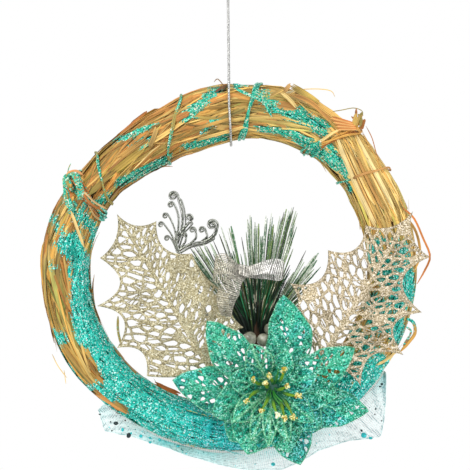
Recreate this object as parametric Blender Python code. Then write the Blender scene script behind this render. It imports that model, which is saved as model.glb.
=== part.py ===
# Hanging straw wreath with a glittered poinsettia, two openwork holly leaves, a pine sprig,
# a silver scroll pick, pearl berries, a net ribbon bow, a net drape and a hanging cord.
# Blender 4.5 script, metres, +Z up. The front of the wreath faces -Y.
# The origin is the inside top of the hanging eye, where a hook carries the wreath.
import math

import bpy
import mathutils
from mathutils import Vector, geometry

for old in list(bpy.data.objects):
    bpy.data.objects.remove(old)

# ---------------------------------------------------------------- driving dimensions
GRID = 0.00065          # one layout unit of the front elevation, in metres (ring about 0.245 m across)
CORD_U = 228.0          # layout column of the hanging cord
EYE_V = -34.0           # layout row of the inside top of the hanging eye
MID_U, MID_V = 235.0, 235.0   # centre of the front elevation
VIEW_D = 1.30           # the front elevation is drawn as seen from this far, so near things are set smaller

RING_U, RING_V = 228.0, 266.0          # centre of the straw ring
RING_R_IN, RING_R_OUT = 139.0, 188.0   # inner and outer radius of the straw, in layout units
RING_DENT_IN = (113.5, 38.0, 21.8)     # the top left is pulled in by the ties: centre and spread in degrees, depth
RING_DENT_OUT = (126.0, 33.0, 17.0)
RING_SAG = (270.0, 40.0, 3.0)
RING_HALF_DEPTH = 0.0155
RING_STATIONS, RING_SIDES = 48, 12

SHEET_T = 0.0010        # moulded openwork sheet of leaves and petals
NET_T = 0.0010
CORD_R = 0.0009         # hanging cord, 1.8 mm
KNOT_R = 0.0026
EYE_W, EYE_H = 0.0085, 0.0150
GAP = 0.0004            # clearance between touching pieces


def at(u, v, y):
    """World point that the front elevation shows at (u, v), at depth y."""
    k = GRID * (VIEW_D + y) / VIEW_D
    return Vector(((MID_U - CORD_U) * GRID + (u - MID_U) * k, y,
                   -(MID_V - EYE_V) * GRID - (v - MID_V) * k))


# ---------------------------------------------------------------- small mesh tools
def material(name, color, rough, metal):
    m = bpy.data.materials.new(name)
    m.use_nodes = True
    b = m.node_tree.nodes["Principled BSDF"]
    b.inputs["Base Color"].default_value = (*color, 1)
    b.inputs["Roughness"].default_value = rough
    b.inputs["Metallic"].default_value = metal
    m.diffuse_color = (*color, 1)
    return m


STRAW = material("dry_straw", (0.80, 0.52, 0.20), 0.65, 0.0)
TWINE = material("raffia_tie", (0.62, 0.42, 0.20), 0.75, 0.0)
GLIT = material("teal_glitter", (0.03, 0.55, 0.47), 0.35, 0.4)
PALE = material("champagne_glitter", (0.62, 0.56, 0.42), 0.40, 0.5)
SILVER = material("silver_metallic", (0.72, 0.73, 0.72), 0.22, 1.0)
RIBBON = material("silver_ribbon", (0.66, 0.65, 0.62), 0.35, 0.7)
PINE = material("pine_green", (0.05, 0.20, 0.08), 0.50, 0.0)
PEARL = material("pearl_grey", (0.60, 0.58, 0.52), 0.25, 0.0)
LIME = material("stamen_lime", (0.42, 0.55, 0.06), 0.40, 0.0)
NET = material("white_net", (0.72, 0.88, 0.88), 0.60, 0.0)


def add(name, verts, faces, mat, smooth=True):
    me = bpy.data.meshes.new(name)
    me.from_pydata([tuple(p) for p in verts], [], faces)
    me.update()
    me.validate()
    me.materials.append(mat)
    ob = bpy.data.objects.new(name, me)
    bpy.context.scene.collection.objects.link(ob)
    if smooth:
        me.shade_smooth()
        me.set_sharp_from_angle(angle=math.radians(40))
    return ob


def frames(path):
    """Parallel-transport frames along a list of points."""
    tang = []
    for i in range(len(path)):
        a, b = path[max(i - 1, 0)], path[min(i + 1, len(path) - 1)]
        tang.append((b - a).normalized())
    ref = Vector((0, 1, 0)) if abs(tang[0].y) < 0.8 else Vector((1, 0, 0))
    n = (ref - tang[0] * ref.dot(tang[0])).normalized()
    out = []
    for t in tang:
        n = (n - t * n.dot(t)).normalized()
        out.append((t, n, t.cross(n)))
    return out


def tube(path, radius, sides):
    """Closed tube along a path; radius is a number or one for each point."""
    rad = radius if isinstance(radius, (list, tuple)) else [radius] * len(path)
    verts, faces = [], []
    for p, (t, n, b), r in zip(path, frames(path), rad):
        for k in range(sides):
            a = 2 * math.pi * k / sides
            verts.append(p + (n * math.cos(a) + b * math.sin(a)) * r)
    for i in range(len(path) - 1):
        for k in range(sides):
            k2 = (k + 1) % sides
            faces.append((i * sides + k, i * sides + k2, (i + 1) * sides + k2, (i + 1) * sides + k))
    faces.append(tuple(reversed(range(sides))))
    faces.append(tuple((len(path) - 1) * sides + k for k in range(sides)))
    return verts, faces


def smooth_path(points, n):
    """n points, evenly spaced by parameter, on a Catmull-Rom curve through the given points."""
    pts = [points[0] * 2 - points[1]] + list(points) + [points[-1] * 2 - points[-2]]
    segs = len(points) - 1
    out = []
    for i in range(n):
        t = i / (n - 1) * segs
        k = min(int(t), segs - 1)
        f = t - k
        a, b, c, d = pts[k], pts[k + 1], pts[k + 2], pts[k + 3]
        out.append(0.5 * ((2 * b) + (c - a) * f + (2 * a - 5 * b + 4 * c - d) * f * f + (3 * b - a - 3 * c + d) * f ** 3))
    return out


def ball(centre, rx, ry, rz, rings=6, sides=10):
    verts, faces = [centre + Vector((0, 0, rz))], []
    for i in range(1, rings):
        a = math.pi * i / rings
        for k in range(sides):
            b = 2 * math.pi * k / sides
            verts.append(centre + Vector((rx * math.sin(a) * math.cos(b), ry * math.sin(a) * math.sin(b), rz * math.cos(a))))
    verts.append(centre - Vector((0, 0, rz)))
    for k in range(sides):
        k2 = (k + 1) % sides
        faces.append((0, 1 + k, 1 + k2))
        for i in range(rings - 2):
            a, b = 1 + i * sides, 1 + (i + 1) * sides
            faces.append((a + k, b + k, b + k2, a + k2))
        a = 1 + (rings - 2) * sides
        faces.append((a + k, len(verts) - 1, a + k2))
    return verts, faces


def union(name, parts, mat):
    """Boolean union of several closed shapes, applied to one object."""
    first = add(name, *parts[0], mat)
    others = []
    for i, (verts, faces) in enumerate(parts[1:]):
        o = add(name + "_piece_%d" % i, verts, faces, mat)
        mod = first.modifiers.new("join_%d" % i, "BOOLEAN")
        mod.operation, mod.solver, mod.object = "UNION", "EXACT", o
        others.append(o)
    bpy.context.view_layer.update()
    done = bpy.data.meshes.new_from_object(first.evaluated_get(bpy.context.evaluated_depsgraph_get()))
    first.modifiers.clear()
    first.data = done
    done.name = name
    for o in others:
        bpy.data.objects.remove(o)
    return first


def inside(poly, x, y):
    hit, j = False, len(poly) - 1
    for i in range(len(poly)):
        (xi, yi), (xj, yj) = poly[i], poly[j]
        if (yi > y) != (yj > y) and x < (xj - xi) * (y - yi) / (yj - yi) + xi:
            hit = not hit
        j = i
    return hit


def edge_distance(poly, x, y):
    best = 1e9
    p = Vector((x, y))
    for i in range(len(poly)):
        a, b = Vector(poly[i]), Vector(poly[(i + 1) % len(poly)])
        q, t = geometry.intersect_point_line(p, a, b)
        q = a if t < 0 else b if t > 1 else q.to_2d() if len(q) == 3 else q
        best = min(best, (p - Vector((q[0], q[1]))).length)
    return best


def sheet_solid(name, outline, lift, thick, spacing, mat, spine=()):
    """A thin moulded sheet: a flat outline, triangulated, lifted into space and given its thickness."""
    xs, ys = [p[0] for p in outline], [p[1] for p in outline]
    coords, row = [Vector(p) for p in outline], 0
    n = len(coords)
    y = min(ys) + spacing * 0.5
    while y < max(ys):
        x = min(xs) + (spacing * 0.5 if row % 2 else 0.0)
        while x < max(xs):
            if inside(outline, x, y) and edge_distance(outline, x, y) > spacing * 0.45:
                coords.append(Vector((x, y)))
            x += spacing
        y += spacing * 0.87
        row += 1
    for p in spine:
        coords.append(Vector(p))
    edges = [(i, (i + 1) % n) for i in range(n)]
    pts, _, tris, _, _, _ = geometry.delaunay_2d_cdt(coords, edges, [], 0, 1e-5)
    keep = []
    for t in tris:
        c = (pts[t[0]] + pts[t[1]] + pts[t[2]]) / 3
        if inside(outline, c.x, c.y):
            area = (pts[t[1]] - pts[t[0]]).cross(pts[t[2]] - pts[t[0]])
            keep.append(tuple(t) if area > 0 else tuple(reversed(t)))
    top = [lift(p.x, p.y) for p in pts]
    normal = [Vector() for _ in pts]
    for t in keep:
        f = (top[t[1]] - top[t[0]]).cross(top[t[2]] - top[t[0]])
        for k in t:
            normal[k] += f
    used = sorted({k for t in keep for k in t})
    index = {k: i for i, k in enumerate(used)}
    m = len(used)
    verts = [top[k] + normal[k].normalized() * thick / 2 for k in used]
    verts += [top[k] - normal[k].normalized() * thick / 2 for k in used]
    faces, count = [], {}
    for t in keep:
        a, b, c = (index[k] for k in t)
        faces += [(a, b, c), (c + m, b + m, a + m)]
        for e in ((a, b), (b, c), (c, a)):
            count[e] = count.get(e, 0) + 1
    for (a, b) in list(count):
        if (b, a) not in count:
            faces.append((b, a, a + m, b + m))
    return add(name, verts, faces, mat)


# ---------------------------------------------------------------- the straw ring
TIES = {  # name: (angle at the outer edge, angle at the inner edge, radius of the tie)
    "straw_tie_top": (80.0, 84.5, 0.0013),
    "straw_tie_top_left": (105.0, 120.0, 0.0011),
    "straw_tie_upper_left": (139.0, 152.0, 0.0010),
    "straw_tie_left_knot": (149.5, 160.0, 0.0016),
    "straw_tie_upper_right": (31.0, 37.0, 0.0008),
    "straw_tie_right_knot": (47.0, 55.0, 0.0013),
}


def swell(deg, lobe):
    """Smooth lobe round the ring: its depth at its centre, falling to nothing over its spread."""
    centre, spread, depth = lobe
    return depth * math.exp(-(((deg - centre + 180.0) % 360.0 - 180.0) / spread) ** 2)


def ring_radii(deg):
    return RING_R_IN - swell(deg, RING_DENT_IN), RING_R_OUT - swell(deg, RING_DENT_OUT) - swell(deg, RING_SAG)


def ring_section(deg, phi, grow=0.0):
    """Point of the ring's surface at angle deg, phi round the section: 0 outer edge, 90 front."""
    r_in, r_out = ring_radii(deg)
    mid, half = (r_in + r_out) / 2, (r_out - r_in) / 2 * GRID
    depth = RING_HALF_DEPTH
    th = math.radians(deg)
    pinch = 1.0
    for a, b, _ in TIES.values():
        pinch -= swell(deg, ((a + b) / 2, 5.0, 0.055))
    lump = 1 + 0.020 * math.cos(5 * phi + 6 * th) + 0.016 * math.cos(3 * phi - 5 * th)
    x = (half * pinch * lump + grow) * math.cos(phi)
    d = (depth * pinch * lump + grow) * math.sin(phi)
    r = mid * GRID + x
    c = at(RING_U, RING_V, 0.0)
    return Vector((c.x + r * math.cos(th), -d, c.z + r * math.sin(th)))


verts, faces = [], []
for i in range(RING_STATIONS):
    for k in range(RING_SIDES):
        verts.append(ring_section(360.0 * i / RING_STATIONS, 2 * math.pi * k / RING_SIDES))
for i in range(RING_STATIONS):
    for k in range(RING_SIDES):
        a, b = i * RING_SIDES, ((i + 1) % RING_STATIONS) * RING_SIDES
        k2 = (k + 1) % RING_SIDES
        faces.append((a + k, b + k, b + k2, a + k2))
add("straw_ring", verts, faces, STRAW)


def closed_loop(points, radius, sides):
    n = len(points)
    verts, faces = [], []
    centre = sum(points, Vector()) / n
    for i, p in enumerate(points):
        t = (points[(i + 1) % n] - points[i - 1]).normalized()
        out = p - centre
        out = (out - t * out.dot(t)).normalized()
        side = t.cross(out)
        for k in range(sides):
            a = 2 * math.pi * k / sides
            verts.append(p + (out * math.cos(a) + side * math.sin(a)) * radius)
    for i in range(n):
        for k in range(sides):
            a, b, k2 = i * sides, ((i + 1) % n) * sides, (k + 1) % sides
            faces.append((a + k, a + k2, b + k2, b + k))
    return verts, faces


for name, (a_out, a_in, rad) in TIES.items():
    loop = []
    for k in range(17):
        phi = 2 * math.pi * k / 17
        deg = (a_out + a_in) / 2 + (a_out - a_in) / 2 * math.cos(phi)
        loop.append(ring_section(deg, phi, rad * 1.05 + 0.0007))
    add(name, *closed_loop(loop, rad, 5), TWINE)

# ---------------------------------------------------------------- hanging cord
KNOT_Z = -(EYE_H + KNOT_R + 0.0002)
LEAN = 0.0010           # the strand leans to the right as it crosses the straw
WRAP = 72
END_KNOT = 44           # where the two ends are knotted together, low on the rear of the ring
top_knot = Vector((0, 0, KNOT_Z))
# closed way round the straw: from the outer edge over the front, the underside and the rear
wrap = []
for k in range(WRAP):
    phi = 2 * math.pi * k / WRAP
    p = ring_section(90.0, phi, CORD_R + 0.0011)
    wrap.append(Vector((LEAN * (1 - math.cos(phi)), p.y, p.z)))


def tangent(side):
    """Index of the wrap point where a straight run from the knot leaves the straw, front (-1) or rear (+1)."""
    best, pick = -1.0, 0
    for i, p in enumerate(wrap):
        if p.y * side <= 0:
            continue
        d = p - top_knot
        a = math.atan2(abs(d.y), -d.z)
        if a > best:
            best, pick = a, i
    return pick


def evenly(path, step):
    """Points about a step apart along a smooth curve through the given ones."""
    fine = smooth_path(path, 40 * len(path))
    far = [0.0]
    for a, b in zip(fine, fine[1:]):
        far.append(far[-1] + (b - a).length)
    n = max(3, round(far[-1] / step) + 1)
    out, j = [], 0
    for i in range(n):
        want = far[-1] * i / (n - 1)
        while j < len(far) - 2 and far[j + 1] < want:
            j += 1
        f = (want - far[j]) / max(far[j + 1] - far[j], 1e-12)
        out.append(fine[j].lerp(fine[j + 1], min(max(f, 0.0), 1.0)))
    return out


def cord(name, path):
    points = evenly(path, CORD_R * 2 * 2.3)
    cu = bpy.data.curves.new(name, "CURVE")
    cu.dimensions = "3D"
    cu.bevel_depth = CORD_R
    cu.bevel_resolution = 2
    cu.use_fill_caps = True
    sp = cu.splines.new("POLY")
    sp.points.add(len(points) - 1)
    for q, p in zip(sp.points, points):
        q.co = (*p, 1)
    cu.materials.append(SILVER)
    ob = bpy.data.objects.new(name, cu)
    bpy.context.scene.collection.objects.link(ob)
    return ob


start_front = top_knot + Vector((0, -0.0013, -KNOT_R - GAP))
start_rear = top_knot + Vector((0, 0.0013, -KNOT_R - GAP))
i_front, i_rear = tangent(-1), tangent(1)
cord("hanging_cord_front", [start_front] + [start_front.lerp(wrap[i_front], k / 4) for k in (1, 2, 3)]
     + [wrap[i] for i in range(i_front, END_KNOT - 4, 4)] + [wrap[END_KNOT - 3]])
cord("hanging_cord_rear", [start_rear] + [start_rear.lerp(wrap[i_rear], k / 4) for k in (1, 2, 3)]
     + [wrap[i] for i in range(i_rear, END_KNOT + 4, -4)] + [wrap[END_KNOT + 3]])
# the eye is a teardrop: round at the top, narrow at the knot
half, drop = EYE_W / 2 + CORD_R, EYE_H - EYE_W / 2
cord("hanging_cord_eye", [Vector((0.0013, 0, -EYE_H + 0.0001)), Vector((0.0024, 0, -EYE_W / 2 - drop * 0.62)), Vector((half * 0.93, 0, -EYE_W / 2 - 0.0018)),
                          Vector((half * 0.82, 0, -EYE_W / 2 + half * 0.57)), Vector((0, 0, -EYE_W / 2 + half)), Vector((-half * 0.82, 0, -EYE_W / 2 + half * 0.57)),
                          Vector((-half * 0.93, 0, -EYE_W / 2 - 0.0018)), Vector((-0.0024, 0, -EYE_W / 2 - drop * 0.62)), Vector((-0.0013, 0, -EYE_H + 0.0001))])
add("cord_eye_knot", *ball(top_knot, KNOT_R, KNOT_R, KNOT_R, 6, 10), SILVER)
out = (wrap[END_KNOT] - sum(wrap, Vector()) / WRAP).normalized()
add("cord_end_knot", *ball(wrap[END_KNOT] + out * 0.0006, 0.0020, 0.0017, 0.0013, 5, 8), SILVER)


# ---------------------------------------------------------------- holly leaves
def arc(a, b, depth, n):
    """Concave edge between two spikes: n points from a towards b, b left out."""
    a, b = Vector(a), Vector(b)
    d = b - a
    nrm = Vector((-d.y, d.x)).normalized()
    c = (a + b) / 2 + nrm * depth * 2
    return [tuple(a * (1 - t) ** 2 + c * 2 * t * (1 - t) + b * t * t) for t in (i / n for i in range(n))]


def leaf_outline(right, left, length, stem, bays):
    """Leaf in its own frame: s along the midrib, q across. right and left are spikes from base to tip, bays how deep the edge curves in between them, as a share of its length."""
    path = [(stem, -2.2), (2.0, -3.0)] + right + [(length, 0.0)]
    back = [(length, 0.0)] + list(reversed(left)) + [(2.0, 3.0), (stem, 2.2)]
    out = []
    for seq, shares in ((path, bays[0]), (back, bays[1][::-1])):
        shares = iter(shares)
        for i in range(len(seq) - 1):
            a, b = seq[i], seq[i + 1]
            if stem in (a[0], b[0]):
                out.append(a)
            else:
                out += arc(a, b, math.dist(a, b) * next(shares), 6)
    return out


STEM = 54.0             # a leaf's stem runs on behind the flower and lies against the straw


def leaf(name, base, tip, right, left, depth, bays):
    base, tip = Vector(base), Vector(tip)
    length = (tip - base).length
    d = (tip - base).normalized()
    n = Vector((d.y, -d.x))

    def lift(s, q):
        p = base + d * s + n * q
        return at(p.x, p.y, depth(s / length, q))

    return sheet_solid(name, leaf_outline(right, left, length, -STEM, bays), lift, SHEET_T, 15.0, PALE,
                       spine=[(x, 0.0) for x in range(4, int(length) - 4, 12)])


def stem_rise(t):
    """A stem leans back to the straw below the leaf."""
    return 0.0036 * min(1.0, max(0.0, -t) / 0.26)


def left_depth(t, q):
    return stem_rise(t) - 0.0203 - 0.0035 * t * t + 0.12 * max(0.0, -q) * GRID * min(1.0, t * 2.0) - 0.0012 * math.exp(-(q / 7.0) ** 2)


def right_depth(t, q):
    return stem_rise(t) - 0.0206 - 0.0040 * t * t + 0.0015 * t * math.sin(q / 16.0) + 0.06 * max(0.0, q) * GRID * min(1.0, t * 2.0) - 0.0010 * math.exp(-(q / 7.0) ** 2)


# spikes are (distance along the midrib, distance across it), from the base to the tip
LEFT_INNER = [(22.0, -50.0), (58.0, -55.0), (112.0, -44.0), (158.0, -30.0)]
LEFT_OUTER = [(30.0, 58.0), (69.5, 69.0), (115.8, 64.6), (155.4, 37.3)]
RIGHT_OUTER = [(5.0, -47.0), (54.0, -67.0), (100.0, -60.5), (151.5, -38.5)]
RIGHT_INNER = [(20.0, 50.0), (56.0, 67.0), (104.0, 52.0), (145.0, 33.0)]
leaf("holly_leaf_left", (212, 372), (117, 214), LEFT_INNER, LEFT_OUTER, left_depth, ((0.15, 0.15, 0.10, 0.30, 0.20), (0.15, 0.34, 0.39, 0.45, 0.16)))
leaf("holly_leaf_right", (318, 366), (413, 211), RIGHT_OUTER, RIGHT_INNER, right_depth, ((0.15, 0.34, 0.43, 0.42, 0.20), (0.15, 0.25, 0.33, 0.31, 0.18)))


# ---------------------------------------------------------------- poinsettia
FLOWER_U, FLOWER_V = 272.0, 387.0
HUB = 13.0
# petals are (direction, length, half width, sideways bow), counter-clockwise
LAYER_BACK = [(83, 93, 22, -12), (176, 100, 22, 8), (232, 68, 21, 0), (290, 83, 21, 2), (346, 100, 21, -5)]
LAYER_MID = [(25.3, 92, 20, -5), (78, 50, 15, 0), (134.6, 93, 21, 5), (205, 66, 18, 0), (262, 71, 20, 0), (318, 62, 17, 0)]
LAYER_FRONT = [(15, 48, 14, 0), (66, 46, 13, 0), (115, 50, 13, 3), (170, 46, 13, 0), (222, 52, 13, 0), (270, 50, 13, 0), (320, 56, 13, 0)]


def petal_half(t, width):
    """Half width of a petal at share t of the way from hub to tip: widest past the middle, drawn to a point."""
    t = min(max(t, 0.0), 1.0)
    return 3.0 * (1 - t) ** 2 + width * math.sin(math.pi * t ** 0.82) ** 0.85 * (1 - 0.2 * t ** 3)


def rosette_outline(petals, steps=9):
    out = []
    for i, (deg, length, width, bow) in enumerate(petals):
        a = math.radians(deg)
        line = {}
        nxt = petals[(i + 1) % len(petals)][0] + (360 if i == len(petals) - 1 else 0)
        prv = petals[i - 1][0] - (360 if i == 0 else 0)
        for side, room in ((-1, deg - prv), (1, nxt - deg)):
            most = math.radians(room * 0.45)
            line[side] = []
            for k in range(steps):
                t = k / steps
                s = HUB + (length - HUB) * t
                q = side * petal_half(t, width) + bow * math.sin(math.pi * t)
                ang = math.atan2(q, s)
                ang = max(min(ang, most), -most)
                r = math.hypot(s, q)
                line[side].append((r * math.cos(a + ang), r * math.sin(a + ang)))
        out += line[-1] + [(length * math.cos(a), length * math.sin(a))] + list(reversed(line[1]))
        v = math.radians((deg + nxt) / 2)
        out.append((HUB * 0.9 * math.cos(v), HUB * 0.9 * math.sin(v)))
    return out


def rosette(name, petals, height, spacing):
    """One moulded layer of petals. height(r) is how far it stands off its hub, at radius r in layout units."""
    outline = rosette_outline(petals)

    def lift(x, y):
        return at(FLOWER_U + x, FLOWER_V - y, height(math.hypot(x, y), math.degrees(math.atan2(y, x)) % 360))

    return sheet_solid(name, outline, lift, SHEET_T, spacing, GLIT)


def fold(petals, deg):
    """1 on a petal's centre line, falling to 0 between petals."""
    best = min(abs((deg - p[0] + 180) % 360 - 180) for p in petals)
    return math.exp(-(best / 11.0) ** 2)


def back_height(r, deg):
    t = r / 95.0
    return -0.0243 - 0.0042 * math.sin(math.pi * min(t, 1.0)) + 0.0008 * fold(LAYER_BACK, deg) * min(1, r / 30)


def mid_height(r, deg):
    t = r / 95.0
    return -0.0272 - 0.0098 * math.sin(math.pi * 0.62 * min(t, 1.1)) + 0.0010 * fold(LAYER_MID, deg) * min(1, r / 30)


def front_height(r, deg):
    t = max(0.0, r - 9.0) / 46.0
    return -0.0302 - 0.0150 * math.sin(math.pi * 0.55 * min(t, 1.5)) + 0.0012 * fold(LAYER_FRONT, deg) * min(1, r / 25)


back = rosette("poinsettia_back_petals", LAYER_BACK, back_height, 13.0)
# the moulded neck behind the flower stands on the inner front edge of the straw
neck = [at(FLOWER_U, FLOWER_V, -0.0243), at(FLOWER_U - 0.5, FLOWER_V + 6, -0.0205), at(FLOWER_U - 1.5, FLOWER_V + 14, -0.0172)]
boss = add("poinsettia_neck", *tube(neck, [0.0052, 0.0034, 0.0026], 10), GLIT)
mod = back.modifiers.new("neck", "BOOLEAN")
mod.operation, mod.solver, mod.object = "UNION", "EXACT", boss
boss.hide_render = True
boss.display_type = "WIRE"
rosette("poinsettia_middle_petals", LAYER_MID, mid_height, 15.0)
rosette("poinsettia_front_petals", LAYER_FRONT, front_height, 13.0)

# stamens: lime stalks with a bead at each tip, on one button
stamens = [ball(at(FLOWER_U, FLOWER_V, -0.0343), 0.0050, 0.0030, 0.0050, 5, 9)]
STAMENS = [(-7, -10, 3), (13, 0, 5), (-26, 15, 2), (-13, 24, 4), (7, 33, 1), (12, 31, 5), (2, -19, 4), (25, 9, 1), (-5, 8, 8), (26, 30, 2), (-16, -2, 6)]
for du, dv, rise in STAMENS:
    a = at(FLOWER_U + du * 0.12, FLOWER_V + dv * 0.12, -0.0350)
    b = at(FLOWER_U + du, FLOWER_V + dv, -0.0470 - rise * 0.0004)
    m = (a + b) / 2 + Vector((0, -0.0015, 0))
    stalk = smooth_path([a, m, b], 4)
    stamens.append(tube(stalk, [0.0009, 0.0009, 0.0009, 0.0008], 4))
    stamens.append(ball(b, 0.0019, 0.0019, 0.0019, 3, 5))
union("poinsettia_stamens", stamens, LIME)


# ---------------------------------------------------------------- pearl spray
FORK = at(262, 372, -0.0160)
ROOT = at(262, 402, -0.0142)
spray = [tube([ROOT, ROOT.lerp(FORK, 0.5), FORK + Vector((0, 0, 0.001))], 0.0008, 6)]
for u, v, y, r in ((250, 338.5, -0.0195, 0.0045), (264, 341, -0.0193, 0.0043), (271, 330, -0.0185, 0.0038)):
    c = at(u, v, y)
    spray.append(ball(c, r, r, r, 6, 9))
    spray.append(tube(smooth_path([FORK, (FORK + c) / 2 + Vector((0, 0.0012, 0)), c], 4), 0.0006, 5))
union("pearl_spray", spray, PEARL)


# ---------------------------------------------------------------- pine sprig
PINE_U, PINE_V = 256.0, 342.0       # where the needles start
PINE_Y = -0.0080
FAN_LEFT, FAN_RIGHT = -35.0, 37.0   # spread of the needles, in degrees from upright
NEEDLES = 24
NEEDLE_R = 0.0011


def loft(rings, sides):
    """Closed body through flattened rings of (column, row, half width, half depth), in layout units."""
    verts, faces = [], []
    for u, v, hu, hy in rings:
        for k in range(sides):
            a = 2 * math.pi * k / sides
            verts.append(at(u + hu * math.cos(a), v, PINE_Y - hy * GRID * math.sin(a)))
    for i in range(len(rings) - 1):
        for k in range(sides):
            a, b, k2 = i * sides, (i + 1) * sides, (k + 1) % sides
            faces.append((a + k, a + k2, b + k2, b + k))
    faces.append(tuple(reversed(range(sides))))
    faces.append(tuple((len(rings) - 1) * sides + k for k in range(sides)))
    return verts, faces


def needle(i):
    """One needle, a long cone from inside the tuft out to the edge of the fan."""
    share = i / (NEEDLES - 1)
    deg = FAN_LEFT + (FAN_RIGHT - FAN_LEFT) * share
    side = (1, -1, 0)[i % 3]
    length = 110 + 27 * math.exp(-((deg - 13) / 11.0) ** 2) + (4, -7, 2, -2)[i % 4]
    a = math.radians(deg)
    foot = at(PINE_U + 1 + 32 * math.sin(a * 0.55), PINE_V - 32 * math.cos(a * 0.55), PINE_Y - side * 0.0022)
    tip = at(PINE_U + length * math.sin(a), PINE_V - length * math.cos(a), PINE_Y - side * 0.0085 + 0.002 * math.cos(i * 1.7))
    return tube([foot, foot.lerp(tip, 0.6), tip], [NEEDLE_R, NEEDLE_R * 0.8, NEEDLE_R * 0.25], 4)


tuft = loft([(PINE_U + 2, 403, 1.8, 1.6), (PINE_U + 1, 366, 2.2, 1.8), (PINE_U, 348, 3.0, 2.6), (PINE_U, 336, 8.0, 6.0),
             (PINE_U + 1, 318, 17.0, 8.5), (PINE_U + 2, 302, 24.0, 10.0), (PINE_U + 2, 291, 20.0, 8.0)], 10)
pine = union("pine_sprig", [tuft] + [needle(i) for i in range(NEEDLES)], PINE)


# ---------------------------------------------------------------- silver scroll pick
PICK_Y = -0.0060


def curl(points, hook, r, y0=PICK_Y, turn=1, n=9):
    """A stalk through the given layout points that ends in a rolled head of radius hook."""
    pts = [Vector((p[0], p[1])) for p in points]
    d = (pts[-1] - pts[-2]).normalized()
    side = Vector((-d.y, d.x)) * turn
    c = pts[-1] + side * hook
    head = []
    for k in range(1, 5):
        a = k / 4 * 1.30 * math.pi
        rr = hook * (1 - 0.42 * k / 4)
        head.append(c - side * rr * math.cos(a) + d * rr * math.sin(a))
    path = smooth_path([Vector((p.x, p.y, 0)) for p in pts], n) + [Vector((p.x, p.y, 0)) for p in head]
    world = [at(p.x, p.y, y0 - 0.0016 * max(0.0, 2 * i / len(path) - 1)) for i, p in enumerate(path)]
    rad = [r * (1.15 - 0.35 * i / len(path)) for i in range(len(path))]
    return tube(world, rad, 5)


pick = [
    tube(smooth_path([at(243, 406, -0.0066), at(237, 378, -0.0068), at(214, 330, -0.0066), at(190, 278, -0.0064), at(177, 246, PICK_Y), at(177.5, 238, PICK_Y)], 9), 0.0010, 5),
    curl([(177.5, 242), (181.6, 228), (182.4, 218), (181.0, 207), (177.4, 195)], 4.4, 0.00085, turn=-1, n=7),
    curl([(178.2, 234), (178.6, 219), (176.8, 210), (173.8, 203.6)], 3.2, 0.00066, PICK_Y - 0.0002, turn=-1, n=5),
    curl([(177.4, 240), (174.5, 229), (171.5, 221), (168.0, 214.6)], 3.0, 0.00062, PICK_Y + 0.0002, turn=-1, n=5),
    curl([(177, 243), (172, 235.5), (167, 228), (163.2, 223)], 2.9, 0.00062, PICK_Y - 0.0001, turn=-1, n=5),
    curl([(178, 248), (174.6, 243), (172, 239), (169.2, 236.6)], 2.8, 0.00062, PICK_Y + 0.0003, turn=-1, n=4),
    curl([(179.6, 234), (185, 228), (191.5, 220)], 3.4, 0.00070, PICK_Y + 0.0002, turn=-1, n=4),
    curl([(178, 248), (190, 244), (204, 241.5), (213.5, 235), (216.5, 226)], 4.8, 0.00090, PICK_Y - 0.0002, turn=-1, n=7),
    curl([(181.5, 247), (185, 241), (186.2, 235)], 2.5, 0.00060, PICK_Y + 0.0001, turn=-1, n=4),
    curl([(191, 243.8), (195.6, 237.5), (195.4, 229.5)], 2.9, 0.00062, PICK_Y - 0.0003, turn=-1, n=4),
    curl([(202, 241.8), (206.6, 236), (204.8, 228.8)], 2.9, 0.00062, PICK_Y + 0.0002, turn=-1, n=4),
]
union("silver_scroll_pick", pick, SILVER)


# ---------------------------------------------------------------- ribbon bow
BOW_T = 0.0010


def strip(line, across, thick):
    """Closed strip: points of its centre line and the width vector at each."""
    verts, faces = [], []
    n = len(line)
    for i, (p, w) in enumerate(zip(line, across)):
        t = (line[min(i + 1, n - 1)] - line[max(i - 1, 0)]).normalized()
        nn = t.cross(w).normalized() * thick / 2
        verts += [p - w / 2 - nn, p + w / 2 - nn, p + w / 2 + nn, p - w / 2 + nn]
    for i in range(n - 1):
        a, b = 4 * i, 4 * (i + 1)
        for k in range(4):
            k2 = (k + 1) % 4
            faces.append((a + k, a + k2, b + k2, b + k))
    faces.append((3, 2, 1, 0))
    e = 4 * (n - 1)
    faces.append((e, e + 1, e + 2, e + 3))
    return verts, faces


BOW = at(243, 272, -0.0262)


def bow_loop(end_u, end_v, width, open_y, n=12):
    """A flattened loop of ribbon out of the knot and back to it, standing on edge."""
    tip = at(end_u, end_v, -0.0262)
    d = tip - BOW
    line, across = [], []
    for i in range(n + 1):
        a = 2 * math.pi * (i / n)
        reach = (1 - math.cos(a)) / 2
        p = BOW + d * reach + Vector((0, -open_y * math.sin(a) * (0.35 + 0.65 * reach), 0))
        line.append(p)
        w = Vector((-d.z, 0, d.x)).normalized() * width * (0.45 + 0.55 * reach ** 0.6)
        if w.z < 0:
            w = -w
        across.append(w)
    line[0] = BOW + d * 0.02 + Vector((0, -0.0012, 0))
    line[-1] = BOW + d * 0.02 + Vector((0, 0.0012, 0))
    return strip(line, across, BOW_T)


tail_line = [at(241, 276, -0.0262), at(234, 288, -0.0285), at(229, 301, -0.0275), at(227, 318, -0.0255)]
tail = smooth_path(tail_line, 7)
tail_w = [Vector((0.0085 + 0.0022 * min(i, 4) / 4, 0.001, 0.0015)) for i in range(7)]
bow = [ball(BOW, 0.0042, 0.0036, 0.0046, 6, 10),
       bow_loop(284, 268, 0.0112, 0.0050),
       bow_loop(216, 259, 0.0125, 0.0052),
       strip(tail, tail_w, BOW_T)]
union("ribbon_bow", bow, RIBBON)


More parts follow.
